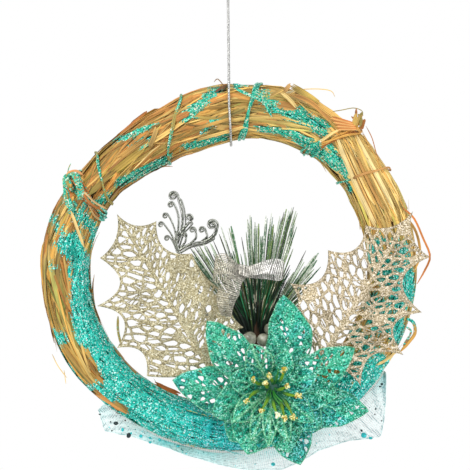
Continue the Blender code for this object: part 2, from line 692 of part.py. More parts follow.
# ---------------------------------------------------------------- net drape
NET_FROM, NET_TO = 228.0, 326.0      # stretch of the ring that the net backs, in degrees
HEM_LEAST = 7.0                      # how far its hem hangs past the straw
HEM_SLOPE, HEM_FALL = 58.0, 270.0    # it hangs lower towards the right, up to its corner
HEM_CORNER = 15.0                    # and a little lower at its left corner
COLS, ROWS = 22, 5


def hem(t):
    """Hang of the net past the ring's outer edge at share t of its length."""
    return (min(HEM_LEAST + HEM_SLOPE * max(0.0, t - 0.25), 4.0 + HEM_FALL * (1.0 - t))
            + HEM_CORNER * math.exp(-((t - 0.035) / 0.05) ** 2))


c0 = at(RING_U, RING_V, 0.0)
nv = []
for i in range(COLS + 1):
    t = i / COLS
    deg = NET_FROM + (NET_TO - NET_FROM) * t
    th = math.radians(deg)
    edge = ring_section(deg, 0.0, 0.0)
    r_edge = math.hypot(edge.x - c0.x, edge.z - c0.z)
    for j in range(ROWS + 1):
        s = j / ROWS
        wave = 0.0011 * math.sin(t * 34.0 + s * 1.5)
        if s < 0.5:  # hugs the rear of the straw, from its middle to its outer edge
            phi = math.radians(-82 + 62 * s / 0.5)
            p = ring_section(deg, phi, 0.0030 + wave * 0.6)
        else:        # hangs free below it
            q = (s - 0.5) / 0.5
            start = ring_section(deg, math.radians(-20), 0.0030 + wave * 0.6)
            r0 = math.hypot(start.x - c0.x, start.z - c0.z)
            r = r0 + (r_edge - r0 + hem(t) * GRID) * q
            p = Vector((c0.x + r * math.cos(th), start.y + 0.0015 * q + wave * q * 2.2, c0.z + r * math.sin(th)))
        nv.append(p)
verts, faces = [], []
W = ROWS + 1
normals = []
for i in range(COLS + 1):
    for j in range(ROWS + 1):
        a = nv[min(i + 1, COLS) * W + j] - nv[max(i - 1, 0) * W + j]
        b = nv[i * W + min(j + 1, ROWS)] - nv[i * W + max(j - 1, 0)]
        normals.append(a.cross(b).normalized())
m = len(nv)
verts = [p + n * NET_T / 2 for p, n in zip(nv, normals)] + [p - n * NET_T / 2 for p, n in zip(nv, normals)]
for i in range(COLS):
    for j in range(ROWS):
        a, b, c, d = i * W + j, (i + 1) * W + j, (i + 1) * W + j + 1, i * W + j + 1
        faces += [(a, b, c, d), (d + m, c + m, b + m, a + m)]
rim = [i * W for i in range(COLS + 1)] + [COLS * W + j for j in range(1, W)] + [i * W + ROWS for i in range(COLS - 1, -1, -1)] + [j for j in range(ROWS - 1, 0, -1)]
for k in range(len(rim)):
    a, b = rim[k], rim[(k + 1) % len(rim)]
    faces.append((b, a, a + m, b + m))
add("net_drape", verts, faces, NET)
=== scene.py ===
# A straw ring wreath hung by a silver cord, with a glittered openwork poinsettia, holly leaves,
# a pine tuft, a scroll pick, a net ribbon bow, pearls and a sheer net along its foot.
import math

import bpy
import numpy as np
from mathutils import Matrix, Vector, geometry


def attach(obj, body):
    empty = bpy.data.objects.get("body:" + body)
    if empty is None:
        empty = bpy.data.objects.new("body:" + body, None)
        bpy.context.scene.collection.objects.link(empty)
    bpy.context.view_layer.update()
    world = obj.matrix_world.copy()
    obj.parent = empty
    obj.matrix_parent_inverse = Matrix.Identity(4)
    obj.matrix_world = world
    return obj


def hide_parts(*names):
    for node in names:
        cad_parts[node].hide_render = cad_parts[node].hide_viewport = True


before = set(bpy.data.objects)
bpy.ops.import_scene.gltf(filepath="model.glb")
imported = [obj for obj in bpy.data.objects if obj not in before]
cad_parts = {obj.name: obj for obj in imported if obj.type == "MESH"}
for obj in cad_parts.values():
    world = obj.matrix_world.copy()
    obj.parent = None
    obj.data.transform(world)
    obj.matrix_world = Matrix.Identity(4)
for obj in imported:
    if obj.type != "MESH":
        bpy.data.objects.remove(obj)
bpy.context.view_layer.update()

# ---------------------------------------------------------------- layout, as in the CAD
GRID = 0.00065
CORD_U, EYE_V = 228.0, -34.0
MID_U = MID_V = 235.0
VIEW_D = 1.30
RING_U, RING_V = 228.0, 266.0
RING_R_IN, RING_R_OUT, RING_HALF_DEPTH = 139.0, 188.0, 0.0155
RING_DENT_IN, RING_DENT_OUT, RING_SAG = (113.5, 38.0, 21.8), (126.0, 33.0, 17.0), (270.0, 40.0, 3.0)
RING_FLAT = (237.0, 18.0, 4.5)
TIES = {"straw_tie_top": (80.0, 84.5, 0.0013), "straw_tie_top_left": (105.0, 120.0, 0.0011),
        "straw_tie_upper_left": (139.0, 152.0, 0.0010), "straw_tie_left_knot": (149.5, 160.0, 0.0016),
        "straw_tie_upper_right": (31.0, 37.0, 0.0008), "straw_tie_right_knot": (47.0, 55.0, 0.0013)}


def at(u, v, y):
    """World point shown at (u, v) of the front elevation, at depth y. Takes numbers or arrays."""
    u, v, y = np.broadcast_arrays(np.asarray(u, float), np.asarray(v, float), np.asarray(y, float))
    k = GRID * (VIEW_D + y) / VIEW_D
    return np.stack([(MID_U - CORD_U) * GRID + (u - MID_U) * k, y, -(MID_V - EYE_V) * GRID - (v - MID_V) * k], -1)


def layout(p):
    """Inverse of at: (u, v) of world points."""
    k = GRID * (VIEW_D + p[..., 1]) / VIEW_D
    return MID_U + (p[..., 0] - (MID_U - CORD_U) * GRID) / k, MID_V - (p[..., 2] + (MID_V - EYE_V) * GRID) / k


# ---------------------------------------------------------------- camera
cam = bpy.data.cameras.new("camera")
cam.sensor_width = 36.0
cam.lens = 36.0 * VIEW_D / (470 * GRID)
cam.clip_start, cam.clip_end = 0.05, 20.0
cam_ob = bpy.data.objects.new("camera", cam)
cam_ob.location = ((MID_U - CORD_U) * GRID, -VIEW_D, -(MID_V - EYE_V) * GRID)
cam_ob.rotation_euler = (math.radians(90), 0, 0)
bpy.context.scene.collection.objects.link(cam_ob)
bpy.context.scene.camera = cam_ob
bpy.context.scene.view_settings.view_transform = "Standard"


# ---------------------------------------------------------------- mesh tools
def new_object(name, verts, faces, mat, slot=None, smooth=True, uv=None, floats=None, colors=None, sharp=None):
    me = bpy.data.meshes.new(name)
    verts = np.asarray(verts, float).reshape(-1, 3)
    me.from_pydata(verts.tolist(), [], faces.tolist() if isinstance(faces, np.ndarray) else faces)
    me.update()
    for key, values in (floats or {}).items():
        me.attributes.new(key, "FLOAT", "POINT").data.foreach_set("value", np.asarray(values, np.float32).ravel())
    for key, values in (colors or {}).items():
        values = np.asarray(values, np.float32).reshape(-1, 3)
        rgba = np.concatenate([values, np.ones((len(values), 1), np.float32)], 1)
        me.attributes.new(key, "FLOAT_COLOR", "POINT").data.foreach_set("color", rgba.ravel())
    if uv is not None:
        index = np.empty(len(me.loops), np.int32)
        me.loops.foreach_get("vertex_index", index)
        me.uv_layers.new(name="UVMap").data.foreach_set("uv", np.asarray(uv, np.float32)[index].ravel())
    me.materials.append(mat)
    ob = bpy.data.objects.new(name, me)
    bpy.context.scene.collection.objects.link(ob)
    if smooth:
        me.shade_smooth()
        if sharp:
            me.set_sharp_from_angle(angle=math.radians(sharp))
    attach(ob, "root")
    return ob


def unit(a):
    return a / np.maximum(np.linalg.norm(a, axis=-1, keepdims=True), 1e-12)


def curve(points, n):
    """n points on a smooth curve through the given ones (Catmull-Rom), evenly spaced along it."""
    p = np.asarray(points, float)
    q = np.concatenate([[2 * p[0] - p[1]], p, [2 * p[-1] - p[-2]]])
    m = max(64, 24 * len(p))
    t = np.linspace(0, len(p) - 1, m)
    k = np.minimum(t.astype(int), len(p) - 2)
    f = (t - k)[:, None]
    a, b, c, d = q[k], q[k + 1], q[k + 2], q[k + 3]
    fine = 0.5 * (2 * b + (c - a) * f + (2 * a - 5 * b + 4 * c - d) * f ** 2 + (3 * b - a - 3 * c + d) * f ** 3)
    run = np.concatenate([[0], np.cumsum(np.linalg.norm(np.diff(fine, axis=0), axis=1))])
    want = np.linspace(0, run[-1], n)
    return np.stack([np.interp(want, run, fine[:, i]) for i in range(p.shape[1])], 1)


def transport(path, ref=(0.0, -1.0, 0.0)):
    """Tangent, normal and binormal along one path, turning as little as they can."""
    t = unit(np.gradient(path, axis=0))
    n = np.zeros_like(t)
    v = np.asarray(ref, float)
    if abs(v @ t[0]) > 0.9:
        v = np.array([1.0, 0.0, 0.3])
    for i in range(len(t)):
        v = v - t[i] * (v @ t[i])
        v = v / max(np.linalg.norm(v), 1e-12)
        n[i] = v
    return t, n, np.cross(t, n)


def sweep(P, N, B, wx, ty, shape):
    """Closed tubes: S paths of n stations with a cross-section of k points. Returns vertices (S*n*k, 3) and faces."""
    S, n = P.shape[:2]
    shape = np.asarray(shape, float)
    k = len(shape)
    V = P[:, :, None, :] + B[:, :, None, :] * (wx[:, :, None, None] * shape[None, None, :, 0:1]) + N[:, :, None, :] * (ty[:, :, None, None] * shape[None, None, :, 1:2])
    s = np.arange(S)[:, None, None] * n * k
    i = np.arange(n - 1)[None, :, None] * k
    j = np.arange(k)[None, None, :]
    j2 = (j + 1) % k
    quads = np.stack([s + i + j, s + i + j2, s + i + k + j2, s + i + k + j], -1).reshape(-1, 4)
    ends = []
    base = np.arange(S) * n * k
    if k == 4:
        ends = [np.stack([base + 3, base + 2, base + 1, base], -1), np.stack([base + (n - 1) * k + q for q in range(4)], -1)]
        faces = np.concatenate([quads] + ends)
    else:
        faces = quads.tolist()
        faces += [[b + q for q in range(k - 1, -1, -1)] for b in base.tolist()]
        faces += [[b + (n - 1) * k + q for q in range(k)] for b in base.tolist()]
    return V.reshape(-1, 3), faces


class Pile:
    """Gathers vertices, faces and vertex data of many shapes for one object."""

    def __init__(self):
        self.v, self.f, self.n, self.data = [], [], 0, {}

    def add(self, verts, faces, **data):
        verts = np.asarray(verts, float).reshape(-1, 3)
        if isinstance(faces, np.ndarray):
            self.f += (faces + self.n).tolist()
        else:
            self.f += [[q + self.n for q in f] for f in faces]
        self.v.append(verts)
        self.n += len(verts)
        for key, value in data.items():
            value = np.asarray(value, float)
            if value.ndim == 0 or (value.ndim == 1 and len(value) in (2, 3) and len(verts) != len(value)):
                value = np.broadcast_to(value, (len(verts),) + value.shape)
            self.data.setdefault(key, []).append(value)

    def build(self, name, mat, slot, colors=(), floats=(), uv=None, **kw):
        return new_object(name, np.concatenate(self.v), self.f, mat, slot,
                          colors={c: np.concatenate(self.data[c]) for c in colors},
                          floats={c: np.concatenate(self.data[c]) for c in floats},
                          uv=np.concatenate(self.data[uv]) if uv else None, **kw)


def round_shape(k):
    a = np.arange(k) * 2 * math.pi / k
    return np.stack([np.cos(a), np.sin(a)], 1)


def tube(path, radius, k=6, ref=(0.0, -1.0, 0.0), flat=1.0):
    """One closed round tube along a path. radius is a number or an array."""
    path = np.asarray(path, float)
    t, n, b = transport(path, ref)
    r = np.broadcast_to(np.asarray(radius, float), (len(path),))
    return sweep(path[None], n[None], b[None], r[None], r[None] * flat, round_shape(k))


def ball(c, r, rings=8, sides=12, scale=(1, 1, 1)):
    c, s = np.asarray(c, float), np.asarray(scale, float) * r
    v, f = [c + [0, 0, s[2]]], []
    for i in range(1, rings):
        a = math.pi * i / rings
        for k in range(sides):
            b = 2 * math.pi * k / sides
            v.append(c + s * [math.sin(a) * math.cos(b), math.sin(a) * math.sin(b), math.cos(a)])
    v.append(c - [0, 0, s[2]])
    last = len(v) - 1
    for k in range(sides):
        k2 = (k + 1) % sides
        f.append([0, 1 + k, 1 + k2])
        for i in range(rings - 2):
            a, b = 1 + i * sides, 1 + (i + 1) * sides
            f.append([a + k, b + k, b + k2, a + k2])
        a = 1 + (rings - 2) * sides
        f.append([a + k, last, a + k2])
    return np.array(v), f


# ---------------------------------------------------------------- materials
def lin(r, g, b):
    """Linear colour of an sRGB colour given in 0-255."""
    return tuple(((c / 255 + 0.055) / 1.055) ** 2.4 if c > 10 else c / 255 / 12.92 for c in (r, g, b))


class Mat:
    def __init__(self, name, rough=0.5, metal=0.0, spec=0.5, color=(0.5, 0.5, 0.5)):
        self.m = bpy.data.materials.new(name)
        self.m.use_nodes = True
        self.t = self.m.node_tree
        self.b = self.t.nodes["Principled BSDF"]
        self.b.inputs["Roughness"].default_value = rough
        self.b.inputs["Metallic"].default_value = metal
        self.b.inputs["Specular IOR Level"].default_value = spec
        self.b.inputs["Base Color"].default_value = (*color, 1)
        self.m.diffuse_color = (*color, 1)

    def put(self, socket, value):
        if isinstance(value, bpy.types.NodeSocket):
            self.t.links.new(value, socket)
        else:
            socket.default_value = (*value, 1) if isinstance(value, tuple) and len(value) == 3 and socket.type == "RGBA" else value

    def node(self, kind, out=0, props=None, **inputs):
        n = self.t.nodes.new(kind)
        for key, value in (props or {}).items():
            setattr(n, key, value)
        for key, value in inputs.items():
            self.put(n.inputs[int(key[1:])] if key[0] == "i" and key[1:].isdigit() else n.inputs[key], value)
        return n.outputs[out]

    def set(self, name, value):
        self.put(self.b.inputs[name], value)

    def place(self):
        return self.node("ShaderNodeTexCoord", out=3)

    def math(self, op, a, b=0.0, c=0.0, clamp=False):
        return self.node("ShaderNodeMath", props={"operation": op, "use_clamp": clamp}, i0=a, i1=b, i2=c)

    def vmath(self, op, a, b=(0.0, 0.0, 0.0)):
        return self.node("ShaderNodeVectorMath", props={"operation": op}, i0=a, i1=b)

    def noise(self, where, scale, detail=2.0, rough=0.5, out=0):
        return self.node("ShaderNodeTexNoise", out=out, Vector=where, Scale=scale, Detail=detail, Roughness=rough)

    def cells(self, where, scale, out=1):
        """Voronoi cells: output 1 is a random colour for each cell, output 0 the distance to its centre."""
        return self.node("ShaderNodeTexVoronoi", out=out, Vector=where, Scale=scale)

    def ramp(self, fac, stops, kind="LINEAR"):
        n = self.t.nodes.new("ShaderNodeValToRGB")
        r = n.color_ramp
        r.interpolation = kind
        while len(r.elements) < len(stops):
            r.elements.new(0.5)
        for e, (pos, col) in zip(r.elements, stops):
            e.position = pos
            e.color = (*col, 1) if isinstance(col, tuple) else (col, col, col, 1)
        self.put(n.inputs[0], fac)
        return n.outputs[0]

    def mix(self, fac, a, b, kind="MIX"):
        n = self.t.nodes.new("ShaderNodeMix")
        n.data_type, n.blend_type = "RGBA", kind
        self.put(n.inputs[0], fac)
        self.put(n.inputs[6], a)
        self.put(n.inputs[7], b)
        return n.outputs[2]

    def mixf(self, fac, a, b):
        n = self.t.nodes.new("ShaderNodeMix")
        self.put(n.inputs[0], fac)
        self.put(n.inputs[2], a)
        self.put(n.inputs[3], b)
        return n.outputs[0]

    def attr(self, name, out=0):
        return self.node("ShaderNodeAttribute", out=out, props={"attribute_name": name, "attribute_type": "GEOMETRY"})

    def bump(self, height, strength, distance=0.0004, normal=None):
        n = self.t.nodes.new("ShaderNodeBump")
        self.put(n.inputs["Height"], height)
        n.inputs["Strength"].default_value = strength
        n.inputs["Distance"].default_value = distance
        if normal is not None:
            self.put(n.inputs["Normal"], normal)
        return n.outputs[0]

    def facets(self, cell_color, amount):
        """The surface normal, tipped a different way in each glitter flake."""
        geo = self.node("ShaderNodeNewGeometry", out=1)
        tip = self.vmath("SUBTRACT", cell_color, (0.5, 0.5, 0.5))
        tip = self.vmath("MULTIPLY", tip, (amount, amount, amount))
        return self.vmath("NORMALIZE", self.vmath("ADD", geo, tip))


def glitter_nodes(m, where, stops, size=0.0007):
    """(colour, flake colour) of loose glitter: stops run from the darkest flakes to the brightest. The spread is partly
    painted light: the near-white flakes are painted glints and the darkest ones painted shade, on top of the flakes'
    own tipped normals.
    """
    cell = m.cells(where, 1.0 / size)
    value = m.node("ShaderNodeSeparateColor", out=0, i0=cell)
    return m.ramp(value, stops), cell


def glitter(name, stops, size=0.00055, rough=0.3, metal=0.35, tip=0.9, tint=None):
    m = Mat(name, rough, metal, 0.5, stops[len(stops) // 2][1])
    where = m.place()
    color, cell = glitter_nodes(m, where, stops, size)
    if tint:
        color = m.mix(1.0, color, m.attr(tint), "MULTIPLY")
    m.set("Base Color", color)
    m.set("Normal", m.facets(cell, tip))
    return m.m


TEAL_STOPS = [(0.0, lin(2, 104, 96)), (0.26, lin(6, 160, 144)), (0.58, lin(26, 202, 182)), (0.84, lin(104, 234, 216)), (0.97, lin(232, 255, 252))]
FLOWER_STOPS = [(0.0, lin(2, 70, 62)), (0.22, lin(6, 124, 104)), (0.56, lin(22, 176, 146)), (0.84, lin(96, 216, 188)), (0.97, lin(226, 252, 244))]
PALE_STOPS = [(0.0, lin(60, 150, 96)), (0.4, lin(112, 196, 140)), (0.8, lin(168, 226, 178)), (1.0, lin(232, 250, 226))]


def flower_material():
    m = Mat("teal_glitter", 0.34, 0.15, 0.25, lin(48, 192, 160))
    where = m.place()
    color, cell = glitter_nodes(m, where, FLOWER_STOPS, 0.0007)
    pale = m.ramp(m.node("ShaderNodeSeparateColor", out=0, i0=cell), PALE_STOPS)
    color = m.mix(1.0, color, m.attr("tint"), "MULTIPLY")
    # the glitter turns bluer in places
    drift = m.ramp(m.noise(where, 46.0, 2.0), [(0.52, (1.0, 1.0, 1.0)), (0.70, (0.6, 0.97, 1.35))])
    color = m.mix(1.0, color, drift, "MULTIPLY")
    m.set("Base Color", m.mix(m.attr("pale", out=2), color, pale))
    m.set("Metallic", m.mixf(m.attr("pale", out=2), 0.15, 0.0))
    m.set("Normal", m.facets(cell, 0.9))
    return m.m


FLOWER = flower_material()
CHAMPAGNE = glitter("champagne_glitter", [(0.0, lin(104, 96, 70)), (0.28, lin(146, 137, 106)), (0.58, lin(180, 172, 142)), (0.86, lin(214, 208, 184)), (0.97, lin(246, 243, 230))], tint="tint")


def straw_material():
    m = Mat("dry_straw", 0.55, 0.0, 0.35, lin(220, 165, 80))
    where = m.place()
    uv = m.node("ShaderNodeTexCoord", out=2)
    fibre = m.noise(m.vmath("MULTIPLY", uv, (900.0, 60.0, 1.0)), 1.0, 3.0, 0.6)
    broad = m.noise(m.vmath("MULTIPLY", uv, (160.0, 25.0, 1.0)), 1.0, 2.0)
    straw = m.mix(1.0, m.attr("tint"), m.ramp(fibre, [(0.29, 0.30), (0.43, 0.84), (0.56, 1.05), (0.74, 1.28)]), "MULTIPLY")
    straw = m.mix(1.0, straw, m.ramp(broad, [(0.30, 0.62), (0.52, 0.98), (0.75, 1.12)]), "MULTIPLY")
    color, cell = glitter_nodes(m, where, TEAL_STOPS)
    # the glitter is brushed on, and thins out to single flakes at its edges
    flake = m.node("ShaderNodeSeparateColor", out=1, i0=cell)
    patch = m.noise(where, 900.0, 2.0)
    amount = m.math("ADD", m.attr("glit", out=2), m.math("MULTIPLY", m.math("SUBTRACT", patch, 0.5), 0.9))
    mask = m.math("GREATER_THAN", amount, m.math("MULTIPLY_ADD", flake, 0.55, 0.22))
    blue = m.mix(m.attr("blue", out=2), (1.0, 1.0, 1.0), (0.40, 0.88, 1.10))
    color = m.mix(1.0, color, blue, "MULTIPLY")
    green = m.mix(m.math("MULTIPLY", m.attr("blue", out=2), -1.0), (1.0, 1.0, 1.0), (1.22, 0.86, 0.72))      # and greener where the value is below 0
    color = m.mix(1.0, color, green, "MULTIPLY")
    m.set("Base Color", m.mix(mask, straw, color))
    m.set("Roughness", m.mixf(mask, 0.55, 0.30))
    m.set("Metallic", m.mixf(mask, 0.0, 0.35))
    bumped = m.bump(fibre, 0.35, 0.0002)
    n = m.t.nodes.new("ShaderNodeMix")
    n.data_type = "VECTOR"
    m.put(n.inputs[0], mask)
    m.put(n.inputs[4], bumped)
    m.put(n.inputs[5], m.facets(cell, 0.9))
    m.set("Normal", n.outputs[1])
    return m.m


STRAW = straw_material()


def silver_material(name, base, rough, dark, scale):
    m = Mat(name, rough, 1.0, 0.5, base)
    where = m.place()
    shade = m.noise(where, scale, 2.0)
    m.set("Base Color", m.ramp(shade, [(0.36, dark), (0.50, base), (0.66, tuple(min(1.0, c * 1.25) for c in base))]))
    return m


CORD_MAT = silver_material("silver_cord", lin(206, 206, 204), 0.28, lin(120, 120, 118), 1400.0).m


# ---------------------------------------------------------------- the ring's surface
def swell(deg, lobe):
    centre, spread, depth = lobe
    return depth * np.exp(-(((deg - centre + 180.0) % 360.0 - 180.0) / spread) ** 2)


def ring_point(deg, phi, grow=0.0):
    """Points on the bundle's surface, and the outward direction there. Takes arrays."""
    deg, phi, grow = np.broadcast_arrays(np.asarray(deg, float), np.asarray(phi, float), np.asarray(grow, float))
    r_in = RING_R_IN - swell(deg, RING_DENT_IN)
    r_out = RING_R_OUT - swell(deg, RING_DENT_OUT) - swell(deg, RING_SAG) - swell(deg, RING_FLAT)
    mid, half = (r_in + r_out) / 2, (r_out - r_in) / 2 * GRID
    th = np.radians(deg)
    pinch = np.ones_like(deg)
    for a, b, _ in TIES.values():
        pinch = pinch - swell(deg, ((a + b) / 2, 5.0, 0.055))
    lump = 1 + 0.020 * np.cos(5 * phi + 6 * th) + 0.016 * np.cos(3 * phi - 5 * th)
    ax, dz = half * pinch * lump + grow, RING_HALF_DEPTH * pinch * lump + grow
    c = at(RING_U, RING_V, 0.0)
    r = mid * GRID + ax * np.cos(phi)
    P = np.stack([c[0] + r * np.cos(th), -dz * np.sin(phi), c[2] + r * np.sin(th)], -1)
    nx, nd = np.cos(phi) / ax, np.sin(phi) / dz
    N = unit(np.stack([nx * np.cos(th), -nd, nx * np.sin(th)], -1))
    return P, N


# ---------------------------------------------------------------- hanging cord
KNOT_R, EYE_W, EYE_H, CORD_R, LEAN = 0.0026, 0.0085, 0.0150, 0.0009, 0.0010
KNOT_Z = -(EYE_H + KNOT_R + 0.0002)
END_KNOT = 44
phi = 2 * math.pi * np.arange(72) / 72
wrap = ring_point(90.0, phi, CORD_R + 0.0011)[0]
wrap[:, 0] = LEAN * (1 - np.cos(phi))
knot = np.array([0.0, 0.0, KNOT_Z])
lean = np.arctan2(np.abs(wrap[:, 1]), KNOT_Z - wrap[:, 2])
i_front = int(np.argmax(np.where(wrap[:, 1] < 0, lean, -1)))
i_rear = int(np.argmax(np.where(wrap[:, 1] > 0, lean, -1)))
half, drop = EYE_W / 2 + CORD_R, EYE_H - EYE_W / 2


def eye_points(side):
    return [(side * 0.0012, 0, -EYE_H - 0.0010), (side * 0.0024, 0, -EYE_W / 2 - drop * 0.62), (side * half * 0.93, 0, -EYE_W / 2 - 0.0018),
            (side * half * 0.82, 0, -EYE_W / 2 + half * 0.57)]


start_front, start_rear = knot + [0, -0.0013, -0.0008], knot + [0, 0.0013, -0.0008]
route = [wrap[END_KNOT - 1]] + [wrap[i] for i in range(END_KNOT - 5, i_front, -4)] + [wrap[i_front]]
route += [wrap[i_front] + (start_front - wrap[i_front]) * k / 5 for k in range(1, 6)]
route += [np.array(p) for p in eye_points(-1)] + [np.array([0, 0, -EYE_W / 2 + half])] + [np.array(p) for p in reversed(eye_points(1))]
route += [start_rear + (wrap[i_rear] - start_rear) * k / 5 for k in range(0, 6)]
route += [wrap[i] for i in range(i_rear - 4, END_KNOT + 4, -4)] + [wrap[END_KNOT + 1]]
LINE = curve(route, 1500)
CORD_LENGTH = float(np.linalg.norm(np.diff(LINE, axis=0), axis=1).sum())

# the cord itself is two plies of lurex yarn twisted together
t, n, b = transport(LINE)
pile = Pile()
along = np.linspace(0, CORD_LENGTH, len(LINE))
for ply in range(3):
    a = 2 * math.pi * (along / 0.0042 + ply / 3)
    off = 0.00042
    path = LINE + n * (np.cos(a) * off)[:, None] + b * (np.sin(a) * off)[:, None]
    r = np.full(len(LINE), 0.00046)
    v, f = tube(path, r, 5)
    pile.add(v, f)
cord = pile.build("hanging_cord", CORD_MAT, "silver_cord")

# knots: a short turn of the same yarn over a core
def turns(centre, axis, r, rise, count, yarn, steps=26):
    """Yarn wound round a knot: centre and axis of the winding, its radius, its height, how many turns."""
    axis = unit(np.asarray(axis, float))
    u = unit(np.cross(axis, [0.31, 0.87, 0.12]))
    w = np.cross(axis, u)
    s = np.linspace(0, 1, int(steps * count))
    a = 2 * math.pi * count * s
    swell_ = r * (0.72 + 0.28 * np.sin(math.pi * s))
    return centre + axis * ((s - 0.5) * rise)[:, None] + u * (np.cos(a) * swell_)[:, None] + w * (np.sin(a) * swell_)[:, None]


pile = Pile()
for axis, r, rise, count in (((0, 0, 1), 0.0017, 0.0034, 3.2), ((0.9, 0.1, 0.35), 0.0014, 0.0026, 2.4)):
    pile.add(*tube(turns(knot, axis, r, rise, count, 0.0006), 0.00062, 6))
pile.add(*ball(knot, 0.0014, 6, 8))
eye_knot = pile.build("cord_eye_knot_yarn", CORD_MAT, "silver_cord")
low = wrap[END_KNOT] + unit(wrap[END_KNOT] - wrap.mean(0)) * 0.0004
pile = Pile()
tan = unit(wrap[END_KNOT + 1] - wrap[END_KNOT - 1])
pile.add(*tube(turns(low, tan, 0.0011, 0.0026, 3.1, 0.0006), 0.00055, 6))
pile.add(*ball(low, 0.0010, 6, 8))
for s in (-1, 1):
    tail = curve([low, low + [s * 0.0016, 0.0006, -0.0006], low + [s * 0.0026, 0.0010, -0.0016]], 12)
    pile.add(*tube(tail, np.linspace(0.0006, 0.00045, 12), 6))
end_knot = pile.build("cord_end_knot_yarn", CORD_MAT, "silver_cord")
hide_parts("hanging_cord_front", "hanging_cord_rear", "hanging_cord_eye")
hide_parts("cord_eye_knot")
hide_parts("cord_end_knot")


# ---------------------------------------------------------------- straw
STRAWS = [lin(226, 172, 84), lin(214, 156, 70), lin(205, 139, 62), lin(232, 190, 112), lin(190, 150, 78), lin(168, 146, 74), lin(222, 176, 100), lin(196, 126, 58), lin(150, 132, 66)]
# brushed glitter: (from u, v, to u, v, half width), on the front of the bundle
BRUSHED = [
    (116, 141, 153, 126, 3.0), (127, 153, 141, 139, 2.6), (139, 149, 152, 136, 2.6), (120, 183, 168, 158, 5.0), (187, 117, 216, 90, 5.5), (185, 147, 226, 137, 4.2),
    (201, 133, 215, 121, 3.4), (97, 204, 108, 196, 5.0), (66, 174, 67, 190, 3.0), (76, 174, 81, 196, 2.6), (64, 196, 74, 212, 3.6), (85, 203, 95, 206, 3.4), (236, 84, 256, 80, 5.5), (262, 92, 272, 108, 5.0), (272, 108, 327, 126, 6.0),
    (300, 112, 322, 132, 6.5), (258, 128, 296, 134, 3.6), (292, 134, 322, 153, 6.0), (322, 153, 348, 174, 5.5), (330, 146, 345, 170, 4.0), (346, 172, 350, 192, 3.0),
    (52, 217, 70, 245, 3.4), (78, 214, 97, 231, 6.6), (94, 231, 93, 256, 4.6), (76, 238, 80, 258, 8.6), (83, 264, 83, 300, 13.5), (83, 300, 90, 345, 16.0), (92, 340, 112, 378, 19.0), (112, 372, 150, 408, 19.0),
    (96, 300, 108, 346, 11.0), (108, 346, 134, 384, 14.0), (130, 378, 178, 410, 16.0), (172, 404, 230, 424, 20.0),
    (145, 400, 200, 430, 26.0), (195, 424, 262, 440, 26.0), (262, 436, 330, 424, 24.0), (330, 424, 372, 392, 22.0), (372, 248, 396, 300, 11.0), (404, 252, 412, 300, 7.0),
    (392, 262, 404, 300, 10.0), (376, 300, 398, 340, 9.0), (352, 330, 392, 372, 9.0), (398, 312, 404, 344, 6.0), (380, 240, 404, 246, 5.0), (360, 360, 392, 380, 12.0),
    (84, 380, 100, 398, 12.0), (100, 398, 140, 424, 14.0), (140, 424, 180, 440, 12.0), (60, 330, 72, 372, 6.0), (60, 245, 76, 256, 6.0), (52, 268, 70, 272, 2.4),
    (338, 388, 366, 372, 12.0), (326, 404, 352, 390, 10.0), (366, 300, 378, 330, 7.0)]
# where straw shows bare inside that area
BARE = [(72, 342, 98, 378, 6.5), (67, 350, 88, 380, 5.5), (95, 391, 125, 411, 3.2), (99, 315, 117, 347, 3.0), (117, 347, 136, 372, 3.0), (155, 381, 181, 393, 3.0),
        (60, 276, 62, 326, 8.0), (112, 199, 172, 168, 3.6), (88, 238, 89, 254, 2.2), (96, 213, 103, 221, 4.6)]


def near(u, v, stroke):
    """1 on a brush stroke, 0 at its edge, below 0 outside."""
    x0, y0, x1, y1, r = stroke
    dx, dy = x1 - x0, y1 - y0
    s = np.clip(((u - x0) * dx + (v - y0) * dy) / (dx * dx + dy * dy), 0, 1)
    return 1 - np.hypot(u - x0 - s * dx, v - y0 - s * dy) / r


def glitter_amount(P, jitter):
    """How thickly the straw is glittered at each point: jitter shifts it a little for each stalk."""
    u, v = layout(P)
    g = np.full(u.shape, -1.0)
    for stroke in BRUSHED:
        g = np.maximum(g, np.minimum(near(u, v, stroke) * 3.0, 1.0))
    for stroke in BARE:
        g = np.minimum(g, np.where(near(u, v, stroke) > 0, -near(u, v, stroke) * 2.5, 1.0))
    g = g + jitter
    front = np.clip((0.006 - P[..., 1]) / 0.010, 0, 1)
    return np.clip(g * 0.75 + 0.15, 0, 1) * front


rng = np.random.default_rng(20)


def zone(deg):
    """How golden and how brown the straw is round the ring: pale gold at the upper right, orange at the upper left, brown low down."""
    gold = swell(deg, (38.0, 42.0, 1.0)) + 0.5 * swell(deg, (350.0, 40.0, 1.0))
    orange = swell(deg, (128.0, 34.0, 1.0))
    brown = swell(deg, (195.0, 40.0, 0.8)) + swell(deg, (235.0, 30.0, 0.7))
    return np.clip(gold, 0, 1), np.clip(orange, 0, 1), np.clip(brown, 0, 1)


